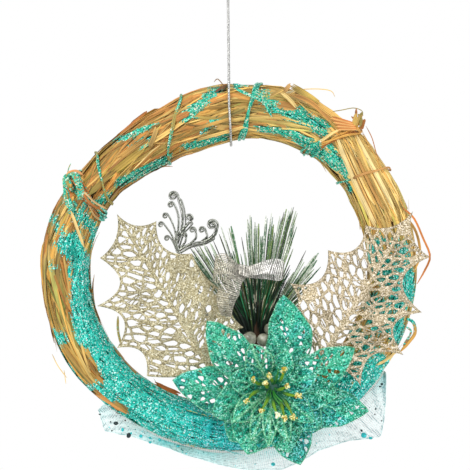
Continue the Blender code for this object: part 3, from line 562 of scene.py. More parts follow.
def straws(count, seed, grow_lo, grow_hi, span_lo, span_hi, widths, name, stray=0.06, straight=0.8, wander=0.55):
    """One layer of stalks and flat blades laid along the ring. Each lies nearly straight, so the bundle is a little angular."""
    rng = np.random.default_rng(seed)
    pile = Pile()
    steps = (8, 11, 15, 20, 27)
    span = rng.uniform(span_lo, span_hi, count)
    kind = np.clip(np.searchsorted([22, 36, 52, 72], span), 0, 4)
    for g, n in enumerate(steps):
        pick = np.nonzero(kind == g)[0]
        S = len(pick)
        if not S:
            continue
        s = np.linspace(0, 1, n)[None, :]
        mid = rng.uniform(0, 360, S)[:, None]
        deg = mid + (s - 0.5) * span[pick][:, None]
        phi0 = rng.uniform(-math.pi, math.pi, S)[:, None]
        drift = rng.normal(0.10, wander, S)[:, None]
        ph = rng.uniform(0, 6.28, (S, 1))
        # a chord across the curve of the ring sags towards its outer edge in the middle of the stalk
        sag = 163.0 / 24.5 * (1 / np.cos(np.radians(np.clip(np.abs(deg - mid), 0, 30))) - 1) - 0.10
        phi = phi0 + drift * np.radians(deg - mid) + np.clip(-sag * straight * np.sin(phi0), -0.45, 0.45) + 0.035 * np.sin(np.radians(deg) * 5 + ph)
        grow = rng.uniform(grow_lo, grow_hi, S)[:, None] + 0.00025 * np.sin(np.radians(deg) * 9 + 3 * ph)
        tuck = np.clip(1 - np.minimum(s, 1 - s) / 0.14, 0, 1) ** 1.5
        loose_ = (rng.random((S, 1)) < stray) * rng.uniform(0.4, 1.0, (S, 1))
        end = rng.integers(0, 2, (S, 1))
        lift = np.where(end == 0, np.clip(1 - s / 0.30, 0, 1), np.clip((s - 0.70) / 0.30, 0, 1)) ** 2
        grow = grow - 0.0014 * tuck * (1 - loose_) + 0.0040 * loose_ * lift
        P, N = ring_point(deg, phi, grow)
        T = unit(np.gradient(P, axis=1))
        roll = rng.normal(0, 0.30, (S, 1))[:, :, None] + 0.25 * np.sin(np.radians(deg) * 4 + ph)[:, :, None]
        N = unit(N - T * (N * T).sum(-1, keepdims=True))
        B = np.cross(T, N)
        N, B = N * np.cos(roll) + B * np.sin(roll), B * np.cos(roll) - N * np.sin(roll)
        low, high, power = widths
        full = low + (high - low) * rng.random((S, 1)) ** power
        w = full / 2 * (1 - 0.75 * np.clip(1 - np.minimum(s, 1 - s) / 0.12, 0, 1) ** 1.3)
        w = w * (1 + 0.12 * np.sin(s * 14 + ph))
        th = np.minimum(w * rng.uniform(0.18, 0.42, (S, 1)), 0.00055)
        V, F = sweep(P, N, B, w, th, [(1, 0), (0.15, 1), (-1, 0), (-0.1, -0.8)])
        base = np.array(STRAWS)[rng.integers(0, len(STRAWS), S)][:, None, :] * np.ones((1, n, 1))
        gold, orange, brown = zone(deg)
        mixed = lambda base, colour, amount: base * (1 - amount[:, :, None]) + np.array(colour) * amount[:, :, None]
        base = mixed(base, lin(248, 206, 126), gold * rng.uniform(0.3, 1.0, (S, 1)))
        base = mixed(base, lin(208, 138, 68), orange * rng.uniform(0.0, 0.95, (S, 1)))
        base = mixed(base, lin(170, 116, 56), brown * rng.uniform(0.0, 0.6, (S, 1)) * (rng.random((S, 1)) < 0.5))
        # painted shade: stalks lying deeper in the bundle are painted darker, down to half their colour, for the shade
        # of the stalks over them
        depth = np.clip((grow - grow.min() + 0.0006) / 0.0022, 0.5, 1.0)
        tint = base * np.array([0.96, 1.04, 0.98]) * (rng.uniform(0.56, 1.26, (S, 1)) * (1 + 0.10 * np.sin(s * 5 + ph)) * depth)[:, :, None]
        olive = (rng.random((S, 1)) < 0.22) * np.clip(np.sin(s * 6 + ph), 0, 1)
        tint = tint * (1 - olive[:, :, None]) + tint * np.array([0.66, 0.92, 0.72]) * olive[:, :, None]
        glit = glitter_amount(P, rng.normal(0.0, 0.14, (S, 1)))
        u, v = layout(P)
        lit_under_blades = np.clip(near(u, v, (350, 138, 392, 226, 26.0)) * 4, 0, 1) * (P[..., 1] < -0.004)     # painted light: the straw in front, under the blades laid over it, is painted a tenth lighter
        tint = tint * (1 + 0.10 * lit_under_blades)[:, :, None]
        blue = np.clip((u - 165) / 90, 0, 1) * np.clip((v - 385) / 30, 0, 1) - np.clip((240 - v) / 50, 0, 1)
        length = np.linalg.norm(np.diff(P, axis=1), axis=-1)
        run = np.concatenate([np.zeros((S, 1)), np.cumsum(length, 1)], 1) + rng.uniform(0, 3, (S, 1))
        across = np.array([1.0, 0.1, -1.0, -0.1])[None, None, :] * w[:, :, None] + rng.uniform(0, 3, (S, 1, 1))
        uv = np.stack([across, np.broadcast_to(run[:, :, None], across.shape)], -1)
        k4 = lambda a: np.repeat(a.reshape(S * n, -1), 4, axis=0)
        pile.add(V, F, tint=k4(tint), glit=k4(glit).ravel(), blue=k4(blue).ravel(), uv=uv.reshape(-1, 2))
    return pile.build(name, STRAW, "dry_straw", colors=("tint",), floats=("glit", "blue"), uv="uv", sharp=50)


# painted shade: the core under the stalk layers is painted dark straw brown, for the shade in the gaps between the
# stalks
core_deg, core_phi = np.meshgrid(np.linspace(0, 360, 121)[:-1], np.linspace(0, 2 * math.pi, 21)[:-1], indexing="ij")
P, N = ring_point(core_deg, core_phi, -0.0032)
i, j = np.meshgrid(np.arange(120), np.arange(20), indexing="ij")
i2, j2 = (i + 1) % 120, (j + 1) % 20
F = np.stack([i * 20 + j, i2 * 20 + j, i2 * 20 + j2, i * 20 + j2], -1).reshape(-1, 4)
uv = np.stack([core_phi * 0.015, core_deg * 0.0018], -1).reshape(-1, 2)
core = new_object("straw_core", P.reshape(-1, 3), F, STRAW, "dry_straw", uv=uv, colors={"tint": np.tile(lin(112, 78, 34), (2400, 1))},
                  floats={"glit": glitter_amount(P, 0.0).ravel() * 0.8, "blue": np.zeros(2400)})
inner = straws(620, 3, -0.0032, -0.0014, 35, 80, (0.0014, 0.0036, 1.5), "straw_stalks_inner", stray=0.0)
outer = straws(1150, 5, -0.0015, -0.0003, 18, 58, (0.0010, 0.0048, 2.0), "straw_stalks_outer", stray=0.04)
thin = straws(520, 8, -0.0006, 0.0002, 14, 50, (0.0006, 0.0016, 1.0), "straw_stalks_fine", stray=0.10, straight=0.9, wander=0.9)
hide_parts("straw_ring")

# where the glitter was brushed on thickly it lies over the stalks as a crust
def crust(name, d0, d1, p0, p1, least, seed):
    rng = np.random.default_rng(seed)
    nd, np_ = int((d1 - d0) / 0.75), int((p1 - p0) / 0.055)
    deg, phi = np.meshgrid(np.linspace(d0, d1, nd), np.linspace(p0, p1, np_), indexing="ij")
    wave = rng.uniform(0, 6.28, 8)
    rib = (np.sin(phi * 24 + deg * 0.06 + wave[0]) + 0.8 * np.sin(phi * 39 - deg * 0.09 + wave[1] + np.sin(deg * 0.2)) + 0.6 * np.sin(phi * 61 + deg * 0.11 + wave[2])) / 2.4
    grain = rng.normal(0, 1, deg.shape)
    P, N = ring_point(deg, phi, 0.0)
    g = glitter_amount(P, 0.0) + 0.10 * np.sin(phi * 30 + deg * 0.4 + wave[3]) + 0.08 * np.sin(deg * 0.9 + wave[4]) + 0.03 * grain
    top = P + N * (0.00015 + 0.00055 * rib + 0.00008 * grain)[..., None]
    low = P - N * 0.0012
    thick = np.clip((g - least) / 0.25, -0.2, 1)
    top = top - N * (0.0014 * (1 - np.clip(thick, 0, 1)) ** 2)[..., None]
    solid = g > least
    cell = solid[:-1, :-1] & solid[1:, :-1] & solid[1:, 1:] & solid[:-1, 1:]
    i, j = np.nonzero(cell)
    quad = np.stack([i * np_ + j, (i + 1) * np_ + j, (i + 1) * np_ + j + 1, i * np_ + j + 1], 1)
    half = np.concatenate([quad[:, [k, (k + 1) % 4]] for k in range(4)])
    m = nd * np_
    rim = half[~np.isin(half[:, 0] * m + half[:, 1], half[:, 1] * m + half[:, 0])]
    faces = np.concatenate([quad, quad[:, ::-1] + m, np.stack([rim[:, 1], rim[:, 0], rim[:, 0] + m, rim[:, 1] + m], 1)])
    used, flat = np.unique(faces, return_inverse=True)
    V = np.concatenate([top.reshape(-1, 3), low.reshape(-1, 3)])[used]
    F = flat.reshape(-1, 4)
    a = V[F[0]]
    if np.cross(a[1] - a[0], a[2] - a[0]) @ N.reshape(-1, 3)[used[F[0, 0]] % m] < 0:
        F = F[:, ::-1]
    u, v = layout(V)
    blue = np.clip((u - 135) / 80, 0, 1) * np.clip((v - 372) / 30, 0, 1) * (0.75 + 0.25 * np.sin(u / 9) * np.sin(v / 7))
    tint = np.tile(lin(200, 150, 70), (len(V), 1))
    return new_object(name, V, F, STRAW, "dry_straw", colors={"tint": tint}, floats={"glit": np.full(len(V), 1.15), "blue": blue},
                      uv=np.stack([V[:, 0], V[:, 2]], 1))


crust("glitter_crust_lower", 166, 322, 0.10, 3.05, 0.78, 4)
crust("glitter_crust_right", 322, 376, 0.20, 2.9, 0.80, 6)
crust("glitter_crust_top", 22, 166, 0.15, 3.0, 0.88, 9)


# ---------------------------------------------------------------- ties and loose stalks
LENS = [(1, 0), (0.15, 1), (-1, 0), (-0.1, -0.8)]
STRAW_DATA = dict(colors=("tint",), floats=("glit", "blue"), uv="uv", sharp=50)


def stalk(pile, P, N, width, thick, tint, glit, taper=0.12, blue=0.0):
    """One flat stalk along a line of points P whose flat side faces N."""
    n = len(P)
    s = np.linspace(0, 1, n)
    T = unit(np.gradient(P, axis=0))
    N = unit(N - T * (N * T).sum(-1, keepdims=True))
    B = np.cross(T, N)
    w = width / 2 * (1 - 0.7 * np.clip(1 - np.minimum(s, 1 - s) / taper, 0, 1) ** 1.5)
    V, F = sweep(P[None], N[None], B[None], w[None], w[None] * 0 + thick / 2, LENS)
    run = np.concatenate([[0], np.cumsum(np.linalg.norm(np.diff(P, axis=0), axis=1))]) + width * 700
    uv = np.stack([np.tile([1.0, 0.1, -1.0, -0.1], n) * np.repeat(w, 4) + width * 900, np.repeat(run, 4)], 1)
    tint = np.repeat(np.broadcast_to(np.asarray(tint, float), (n, 3)), 4, axis=0)
    glit = np.repeat(np.broadcast_to(np.asarray(glit, float), (n,)), 4)
    pile.add(V, F, tint=tint, glit=glit, blue=blue - np.clip((240 - layout(V)[1]) / 50, 0, 1), uv=uv)


def tie(pile, a_out, a_in, width, rise, tint, glit, rng, plies=2, start=-2.0, turns=1.05, twist=5.0, wander=0.5):
    """Twisted stalks drawn tight round the bundle, their ends lapped at the rear."""
    n = 96
    phi = start + np.linspace(0, 2 * math.pi * turns, n)
    wave = rng.uniform(0, 6)
    deg = (a_out + a_in) / 2 + (a_out - a_in) / 2 * np.cos(phi) + wander * np.sin(2.6 * phi + wave) * 0.6 + wander * np.sin(5.3 * phi + wave) * 0.3
    lap = np.clip((np.linspace(0, turns, n) - 1.0) / 0.05, 0, 1)
    P, N = ring_point(deg, phi, rise + 0.0002 * np.sin(4 * phi + wave) + lap * width * 0.7)
    T = unit(np.gradient(P, axis=0))
    B = np.cross(T, N)
    for k in range(plies):
        a = twist * np.linspace(0, 2 * math.pi * turns, n) / 2 + 2 * math.pi * k / plies + wave
        off = width * (0.26 if plies > 1 else 0.0)
        side, up = np.cos(a)[:, None], np.sin(a)[:, None]
        shade = rng.uniform(0.85, 1.15)
        stalk(pile, P + B * side * off * 1.15 + N * up * off * 0.5, N + B * side * 0.5, width * (0.62 if plies > 1 else 1.0), width * 0.42,
              np.asarray(tint) * shade, glit if np.isscalar(glit) else glit(P), taper=0.03)


def loose(pile, points, width, tint, glit=0.0, thick=None, n=18, taper=0.2, face=(0.1, -1.0, 0.15)):
    """A stalk lying or standing off the bundle. points are (u, v, y)."""
    p = np.asarray(points, float)
    path = curve(at(p[:, 0], p[:, 1], p[:, 2]), n)
    stalk(pile, path, np.broadcast_to(np.asarray(face, float), (n, 3)), width, thick or width * 0.4, tint, glit, taper)


def blade(pile, points, width, tint, parts=4, glit=0.0, taper=0.05, n=22, face=(0.1, -1.0, 0.15)):
    """A broad flat blade, split along its length into narrow ones side by side."""
    p = np.asarray(points, float)
    path = curve(at(p[:, 0], p[:, 1], p[:, 2]), n)
    T = unit(np.gradient(path, axis=0))
    N = np.broadcast_to(np.asarray(face, float), (n, 3))
    N = unit(N - T * (N * T).sum(-1, keepdims=True))
    B = np.cross(T, N)
    for k in range(parts):
        off = (k - (parts - 1) / 2) * width / parts * 0.90
        lo, hi = int(rng.integers(0, 3)), n - int(rng.integers(0, 3))
        lean = N + B * rng.uniform(-0.5, 0.5)
        stalk(pile, (path + B * off + N * rng.uniform(-0.00015, 0.00015))[lo:hi], lean[lo:hi], width / parts * 1.22, 0.00036, np.asarray(tint) * rng.uniform(0.74, 1.16), glit, taper)


def on_front(u, v, above=0.0004):
    """How far forward the front of the bundle lies at a layout point."""
    phi = np.linspace(0.04, math.pi - 0.04, 120)
    q, _ = ring_point(np.full(120, math.degrees(math.atan2(RING_V - v, u - RING_U))), phi, above)
    c = at(RING_U, RING_V, 0.0)
    k = int(np.argmin(np.abs(np.hypot(q[:, 0] - c[0], q[:, 2] - c[2]) - math.hypot(u - RING_U, v - RING_V) * GRID)))
    return float(q[k, 1])


def pressed(ends, above=0.0006, steps=5):
    """(u, v, y) along a straight line between two layout points, lying on the front of the bundle."""
    (u0, v0), (u1, v1) = ends
    return [(u0 + (u1 - u0) * f, v0 + (v1 - v0) * f, on_front(u0 + (u1 - u0) * f, v0 + (v1 - v0) * f, above)) for f in np.linspace(0, 1, steps)]


BROWN, GOLD, PALE_STRAW, OLIVE = lin(178, 112, 52), lin(222, 168, 82), lin(238, 204, 132), lin(160, 144, 74)
ORANGE, CREAM = lin(214, 132, 62), lin(240, 222, 172)
rng = np.random.default_rng(41)
SKIN = {}                     # each tie's own pieces
speckled = lambda low: (lambda P: (low + 0.28 * np.sin(P[:, 2] * 310 + 2.1 * np.sin(P[:, 0] * 240)) + 0.2 * np.sin(P[:, 2] * 97 + 2)) * (P[:, 1] < 0.004))
# glitter that stops at a layout column, on the inner side of it
inward = lambda column, soft=5.0: (lambda P: np.clip((column - layout(P)[0]) / soft + 0.5, 0, 1) * 0.95 * (P[:, 1] < 0.004))
pile = Pile()
tie(pile, 80.0, 84.5, 0.0026, 0.0009, GOLD, 0.9, rng, twist=3.0)
tie(pile, 81.2, 83.0, 0.0019, 0.0012, GOLD, 0.9, rng, plies=1, start=-2.4)
loose(pile, [(233, 87, -.0130), (243, 92, -.0172), (254, 97, -.0184), (264, 102, -.0180), (273, 106, -.0160)], 0.0020, GOLD, 0.95)
loose(pile, [(256, 93, -.0178), (262, 99, -.0186), (268, 109, -.0176), (272, 117, -.0172)], 0.0017, GOLD, 0.8)
SKIN["straw_tie_top"] = pile
pile = Pile()
tie(pile, 105.0, 120.0, 0.0021, 0.0008, OLIVE, speckled(0.55), rng, twist=2.6)
SKIN["straw_tie_top_left"] = pile
pile = Pile()
tie(pile, 139.0, 152.0, 0.0018, 0.0008, OLIVE, speckled(0.45), rng, twist=3.0)
SKIN["straw_tie_upper_left"] = pile
pile = Pile()
ends = lambda low: (lambda P: np.where((layout(P)[0] < 81) | ((layout(P)[0] > 99) & (layout(P)[0] < 110)), 0.85, low) * (P[:, 1] < 0.004))
for k, (a, b, w) in enumerate([(149.5, 159.0, 0.0014), (148.0, 157.0, 0.0024), (152.0, 157.0, 0.0018), (150.0, 160.0, 0.0015), (153.0, 158.5, 0.0016)]):
    tie(pile, a, b, w, 0.0009 + 0.0002 * k, (lin(214, 172, 112), BROWN, OLIVE)[k % 3], ends((0.15, 0.30, 0.55, 0.1, 0.3)[k]), rng, twist=2.0 + k, start=-2.0 - 0.3 * k, wander=1.0)
for k in range(4):            # the outer edge of the knot is two columns of glittered strands, with brown ends between them
    du = 1.5 * k - 2.2
    loose(pile, [(70 + du, 173, -.0110), (66 + du, 178, -.0140), (66.5 + du, 188, -.0150), (67.5 + du, 199, -.0154), (72 + du, 211, -.0164)], 0.0016, (GOLD, OLIVE)[k % 2], 0.70, n=26)
    loose(pile, [(68 + du, 175 - k, -.0120), (74 + du, 175, -.0160), (78 + du, 182, -.0174), (81 + du, 193, -.0184), (80 + du, 200, -.0180)], 0.0016, (OLIVE, BROWN)[k % 2], 0.62, n=26)
    loose(pile, [(70.5 + 0.8 * du, 174, -.0100), (71.5 + 0.8 * du, 182, -.0130), (72 + 0.8 * du, 190, -.0150)], 0.0020, (BROWN, lin(96, 84, 48))[k % 2], 0.40, n=12)
for k in range(9):
    u, v = 72 + rng.normal(0, 2.6), 192 + 2.2 * (k - 4) + rng.normal(0, 2.0)
    a = rng.uniform(0.9, 2.0)
    r = rng.uniform(4, 7)
    pts = [(u - r * math.cos(a), v - r * math.sin(a), -0.0120), (u, v, -0.0160 - 0.0012 * rng.random()), (u + r * math.cos(a), v + r * math.sin(a), -0.0130)]
    loose(pile, pts, rng.uniform(0.0012, 0.0022), (BROWN, GOLD, OLIVE)[k % 3], 0.7 if k % 4 == 0 else 0.05)
loose(pile, [(66, 175, -.0120), (71, 171.5, -.0130), (77, 171, -.0140), (83, 175, -.0150)], 0.0016, lin(214, 150, 92), 0.1)
loose(pile, [(67, 177, -.0120), (68.5, 169, -.0110), (71, 163, -.0100)], 0.0007, OLIVE, 0.4, n=12)
loose(pile, [(72, 180, -.0165), (82, 192, -.0182), (90, 203, -.0182), (103, 211, -.0150)], 0.0016, BROWN, 0.1)
loose(pile, [(78, 186, -.0170), (86, 194, -.0184), (96, 203, -.0186), (107, 209, -.0140)], 0.0013, lin(226, 186, 128), 0.1)
loose(pile, [(71, 211, -.0165), (77, 228, -.0182), (84, 247, -.0178)], 0.0019, PALE_STRAW, 0.0)
SKIN["straw_tie_left_knot"] = pile
pile = Pile()
tie(pile, 31.0, 37.0, 0.0015, 0.0019, lin(200, 148, 84), inward(350), rng, twist=4.0)
SKIN["straw_tie_upper_right"] = pile
pile = Pile()
for k, (a, b, w) in enumerate([(47.0, 55.0, 0.0022), (46.0, 53.0, 0.0016), (48.5, 57.0, 0.0017), (45.0, 56.0, 0.0014)]):
    tie(pile, a, b, w, 0.0008 + 0.0004 * k, (GOLD, BROWN, PALE_STRAW)[k % 3], inward(321), rng, twist=2.0 + k, start=-2.0 - 0.4 * k, wander=0.9)
for k in range(7):
    u, v = 358 + rng.normal(0, 2.2), 123 + rng.normal(0, 3.5)
    a = rng.uniform(0.8, 2.4)
    r = rng.uniform(5, 9)
    pts = [(u - r * math.cos(a), v + r * math.sin(a), -0.0060), (u, v, -0.0118 - 0.0014 * rng.random()), (u + r * math.cos(a), v - r * math.sin(a), -0.0080)]
    loose(pile, pts, rng.uniform(0.0014, 0.0024), (GOLD, BROWN, OLIVE)[k % 3], 0.0)
# one folded blade end stands upright in the knot, with a darker one behind it
blade(pile, [(361, 129, -.0100), (363, 122, -.0120), (364, 118, -.0118)], 0.0030, BROWN, parts=2, taper=0.08, n=14)
blade(pile, [(353, 131, -.0120), (355, 123, -.0146), (358, 114, -.0142)], 0.0042, lin(206, 168, 84), parts=3, taper=0.12, n=14)
loose(pile, [(358, 114, -.0138), (361, 119, -.0136), (360, 127, -.0132)], 0.0020, OLIVE, n=12)
for k in range(8):            # thin stalks fan from the tie to the knot
    loose(pile, [(329 + 1.3 * k, 116 + 2.2 * k, -.0150), (341, 119 + 1.5 * k, -.0158), (354 + 0.5 * k, 123 + 0.9 * k, -.0142)], 0.0010 + 0.0004 * (k % 2), (ORANGE, lin(222, 164, 96))[k % 2], n=14)
SKIN["straw_tie_right_knot"] = pile
for node, pile in SKIN.items():
    ob = pile.build(node + "_stalks", STRAW, "raffia_tie", **STRAW_DATA)
    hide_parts(node)

pile = Pile()
hair = lambda pts, w=0.0007, c=PALE_STRAW, g=0.0: loose(pile, pts, w, c, g, n=24)
hair([(286, 96, -.008), (300, 90, -.010), (318, 89, -.011), (331, 91, -.009), (335, 97, -.006)])
hair([(330, 112, -.008), (342, 110, -.009), (354, 108, -.008), (362, 111, -.006), (363, 116, -.004)], 0.0006, OLIVE)
hair([(366, 126, -.006), (372, 138, -.009), (376, 152, -.010), (380, 163, -.009)], 0.0006, BROWN)
blade(pile, [(284, 92, -.0132), (288, 87, -.0146), (291, 84, -.0150)], 0.0026, lin(226, 176, 108), parts=2, taper=0.3)
blade(pile, [(289, 84, -.0140), (302, 92, -.0156), (320, 104, -.0160)], 0.0044, lin(190, 160, 78), parts=4, taper=0.3)
blade(pile, [(306, 95, -.0150), (322, 107, -.0160), (337, 118, -.0148)], 0.0040, lin(222, 178, 98), parts=4, taper=0.3)
blade(pile, [(290, 93, -.0156), (312, 103, -.0168), (332, 122, -.0152)], 0.0030, lin(206, 150, 78), parts=3, taper=0.2)
blade(pile, [(281, 92, -.0148), (289, 99, -.0160), (297, 108, -.0164)], 0.0024, lin(226, 196, 124), parts=2, taper=0.3)
blade(pile, [(269, 97, -.0150), (276, 93, -.0158), (284, 89, -.0150)], 0.0020, lin(222, 182, 100), parts=2, taper=0.2)
loose(pile, [(286, 93, on_front(286, 93)), (296, 91, on_front(296, 91, 0.0009)), (303, 90, -.0100)], 0.0018, CREAM)
# the upper right is long straight blades that run from the knot down under the leaf
RIGHT_TINTS = [lin(246, 212, 134), lin(226, 180, 96), lin(248, 222, 154), lin(216, 162, 86), lin(240, 200, 118), lin(204, 170, 96)]
for k in range(20):
    f = (k + 0.3 + rng.uniform(-0.4, 0.4)) / 19
    lo, hi = (0.0, 1.0) if k % 3 else sorted((rng.uniform(0.0, 0.5), rng.uniform(0.6, 1.0)))
    wide, bend = (1.2, 3.0, 4.4, 2.0)[k % 4] * rng.uniform(0.8, 1.15), rng.uniform(-2.0, 2.0)
    way = []
    for t in np.linspace(lo, hi, 9):
        # left and right edge of the patch at this height, the blades between them drift a little
        u = (1 - f) * (332 + 41 * t + 3 * t * t) + f * (360 + 44 * t + 4 * t * (1 - t)) + bend * math.sin(3.1 * t)
        v = (1 - f) * (136 + 100 * t) + f * (130 + 80 * t)
        way.append((u, v, on_front(u, v, 0.0003 + 0.0011 * ((k * 7) % 5) / 4)))
    blade(pile, way, wide * GRID, RIGHT_TINTS[k % 6], parts=1 + k % 3, taper=0.18)
hair([(214, 82, -.004), (217, 79, -.005), (220, 81, -.006), (223, 85, -.009), (225, 88, -.011)], 0.0007, lin(128, 96, 60), 0.15)
hair([(209, 87, -.006), (213, 88, -.009), (219, 87, -.011)], 0.0008, lin(110, 100, 66), 0.3)
for k in range(7):
    blade(pile, [(214 + k * 1.5, 92 - 0.3 * k, on_front(214 + k * 1.5, 92, 0.0008)), (220 + k, 88.5 - 0.2 * k, on_front(220 + k, 89, 0.0012)), (226 + 0.6 * k, 84.5, -.0090)], 0.0012, (lin(96, 84, 48), lin(120, 70, 44), lin(70, 104, 84))[k % 3], parts=1, n=10)
hair([(52, 354, -.004), (58, 366, -.006), (67, 378, -.006)], 0.0006)
hair([(64, 370, -.004), (66, 384, -.005)], 0.0005)
loose(pile, [(118, 316, -.0020), (118, 330, -.0030), (121, 345, -.0060)], 0.0016, OLIVE, 0.25)
loose(pile, [(398, 205, -.0090), (413, 217, -.0060), (423, 238, -.0040), (430, 256, -.0050), (425, 270, -.0070), (417, 284, -.0080)], 0.0014, ORANGE)
loose(pile, [(404, 214, -.0090), (416, 232, -.0060), (420, 254, -.0060), (414, 272, -.0080)], 0.0018, GOLD)
loose(pile, [(404, 318, -.0070), (413, 322, -.0060), (415, 333, -.0050), (408, 343, -.0060), (400, 352, -.0080)], 0.0022, GOLD, np.clip(1.4 - np.linspace(0, 3.2, 18), 0, 1))
loose(pile, [(405, 326, -.0080), (411, 332, -.0070), (403, 346, -.0080)], 0.0014, BROWN, 0.5)
loose(pile, [(374, 366, -.0130), (386, 360, -.0130), (399, 349, -.0100)], 0.0016, PALE_STRAW)
loose(pile, [(46, 268, -.0040), (44, 292, -.0050), (50, 314, -.0050)], 0.0018, GOLD)
loose(pile, [(53, 306, -.0060), (58, 330, -.0080), (70, 354, -.0100)], 0.0022, BROWN)
loose(pile, [(120, 134, -.0120), (134, 122, -.0130), (147, 112, -.0080)], 0.0014, BROWN)
loose(pile, [(131, 123, -.0060), (139, 117, -.0080), (147, 111, -.0060)], 0.0012, BROWN)
blade(pile, [(149, 148, on_front(149, 148, 0.0010)), (153, 139, on_front(153, 139, 0.0012)), (157, 127, on_front(157, 127, 0.0012))], 0.0030, lin(206, 168, 96), parts=3)
blade(pile, pressed(((118, 159), (148, 138)), 0.0006), 0.0040, lin(186, 142, 70), parts=3, taper=0.2)
blade(pile, pressed(((112, 173), (144, 148)), 0.0006), 0.0044, lin(184, 152, 66), parts=3, taper=0.2)
blade(pile, pressed(((190, 130), (236, 117)), 0.0007), 0.0022, lin(212, 166, 84), parts=2, taper=0.2)
blade(pile, pressed(((193, 141), (247, 126)), 0.0007), 0.0020, lin(232, 194, 112), parts=2, taper=0.2)
blade(pile, pressed(((172, 121), (190, 112)), 0.0006), 0.0036, lin(200, 136, 66), parts=3, taper=0.2)
hair([(133, 170, -.0178), (142, 161, -.0186), (152, 151, -.0184), (160, 145, -.0176)], 0.0008)
blade(pile, pressed(((154.5, 383), (164, 388)), 0.0006, 2) + pressed(((172.5, 391.5), (181.5, 395)), 0.0006, 2), 0.0032, lin(206, 118, 50), parts=2, taper=0.25)
blade(pile, pressed(((97, 393), (112, 402)), 0.0006, 3) + pressed(((120, 407), (128, 412)), 0.0005, 2), 0.0044, lin(222, 158, 84), parts=3, taper=0.25)
ob = pile.build("straw_stalks_loose", STRAW, "dry_straw", **STRAW_DATA)

# ---------------------------------------------------------------- openwork sheets
def clip(poly, n, c):
    """The part of a convex polygon where n . p <= c."""
    d = poly @ n - c
    out = []
    for i in range(len(poly)):
        j = (i + 1) % len(poly)
        if d[i] <= 0:
            out.append(poly[i])
        if (d[i] < 0 < d[j]) or (d[j] < 0 < d[i]):
            out.append(poly[i] + (poly[j] - poly[i]) * (d[i] / (d[i] - d[j])))
    return np.array(out) if len(out) >= 3 else None


def cell_mesh(rng, lo, hi, spacing, along, stretch):
    """Irregular cells covering a box, drawn out along one direction. Each is a convex counter-clockwise polygon."""
    e = np.array([along, [-along[1], along[0]]])
    corners = np.array([[lo[0], lo[1]], [hi[0], lo[1]], [hi[0], hi[1]], [lo[0], hi[1]]]) @ e.T
    a0, b0 = corners.min(0) - 2 * spacing
    a1, b1 = corners.max(0) + 2 * spacing
    da, db = spacing * stretch, spacing * 0.88
    rows = int((b1 - b0) / db) + 1
    seeds = []
    for r in range(rows):
        m = int((a1 - a0) / da) + 1
        a = a0 + (np.arange(m) + 0.5 * (r % 2)) * da + rng.uniform(-0.33, 0.33, m) * da
        b = b0 + r * db + rng.uniform(-0.33, 0.33, m) * db
        seeds.append(np.stack([a / stretch, b], 1))
    seeds = np.concatenate(seeds)
    back = (seeds * [stretch, 1]) @ e
    inside = ((back > lo - spacing) & (back < hi + spacing)).all(1)
    cells = []
    for i in np.nonzero(inside)[0]:
        s = seeds[i]
        d = seeds - s
        far = np.hypot(d[:, 0], d[:, 1])
        poly = s + 1.6 * spacing * np.array([(-1, -1), (1, -1), (1, 1), (-1, 1.0)])
        for j in np.argsort(far)[1:18]:
            n = d[j] / far[j]
            poly = clip(poly, n, n @ s + far[j] / 2)
            if poly is None:
                break
        if poly is not None:
            cells.append((poly * [stretch, 1]) @ e)
    return cells


def inset(poly, w):
    out = poly
    for i in range(len(poly)):
        e = poly[(i + 1) % len(poly)] - poly[i]
        long = math.hypot(*e)
        if long < 1e-6:
            continue
        n = np.array([e[1], -e[0]]) / long
        out = clip(out, n, n @ poly[i] - w)
        if out is None:
            return None
    return out


def area_of(p):
    q = np.roll(p, -1, 0)
    return 0.5 * float((p[:, 0] * q[:, 1] - q[:, 0] * p[:, 1]).sum())


def soften(poly, k=0.27):
    q = np.roll(poly, -1, 0)
    return np.stack([poly * (1 - k) + q * k, poly * k + q * (1 - k)], 1).reshape(-1, 2)


def ribbon_of(path, w0, w1):
    """A strip along a line, w0 wide at its start and w1 at its end, as one polygon."""
    t = unit(np.gradient(path, axis=0))
    n = np.stack([-t[:, 1], t[:, 0]], 1)
    w = np.linspace(w0, w1, len(path))[:, None] / 2
    p = np.concatenate([path - n * w, (path + n * w)[::-1]])
    return p if area_of(p) > 0 else p[::-1]


def within(p, poly):
    """Which points lie in a polygon."""
    x, y = p[:, 0][:, None], p[:, 1][:, None]
    a, b = poly, np.roll(poly, -1, 0)
    rise = np.where(b[:, 1] == a[:, 1], 1e-9, b[:, 1] - a[:, 1])
    hit = ((a[:, 1] > y) != (b[:, 1] > y)) & (x < a[:, 0] + (y - a[:, 1]) / rise * (b[:, 0] - a[:, 0]))
    return hit.sum(1) % 2 == 1


def away(p, a, b):
    """Distance of each point to each segment, and how far along the segment."""
    d = b - a
    f = np.clip(((p[:, None] - a) * d).sum(-1) / np.maximum((d * d).sum(-1), 1e-12), 0, 1)
    return np.linalg.norm(p[:, None] - a - f[..., None] * d, axis=-1), f


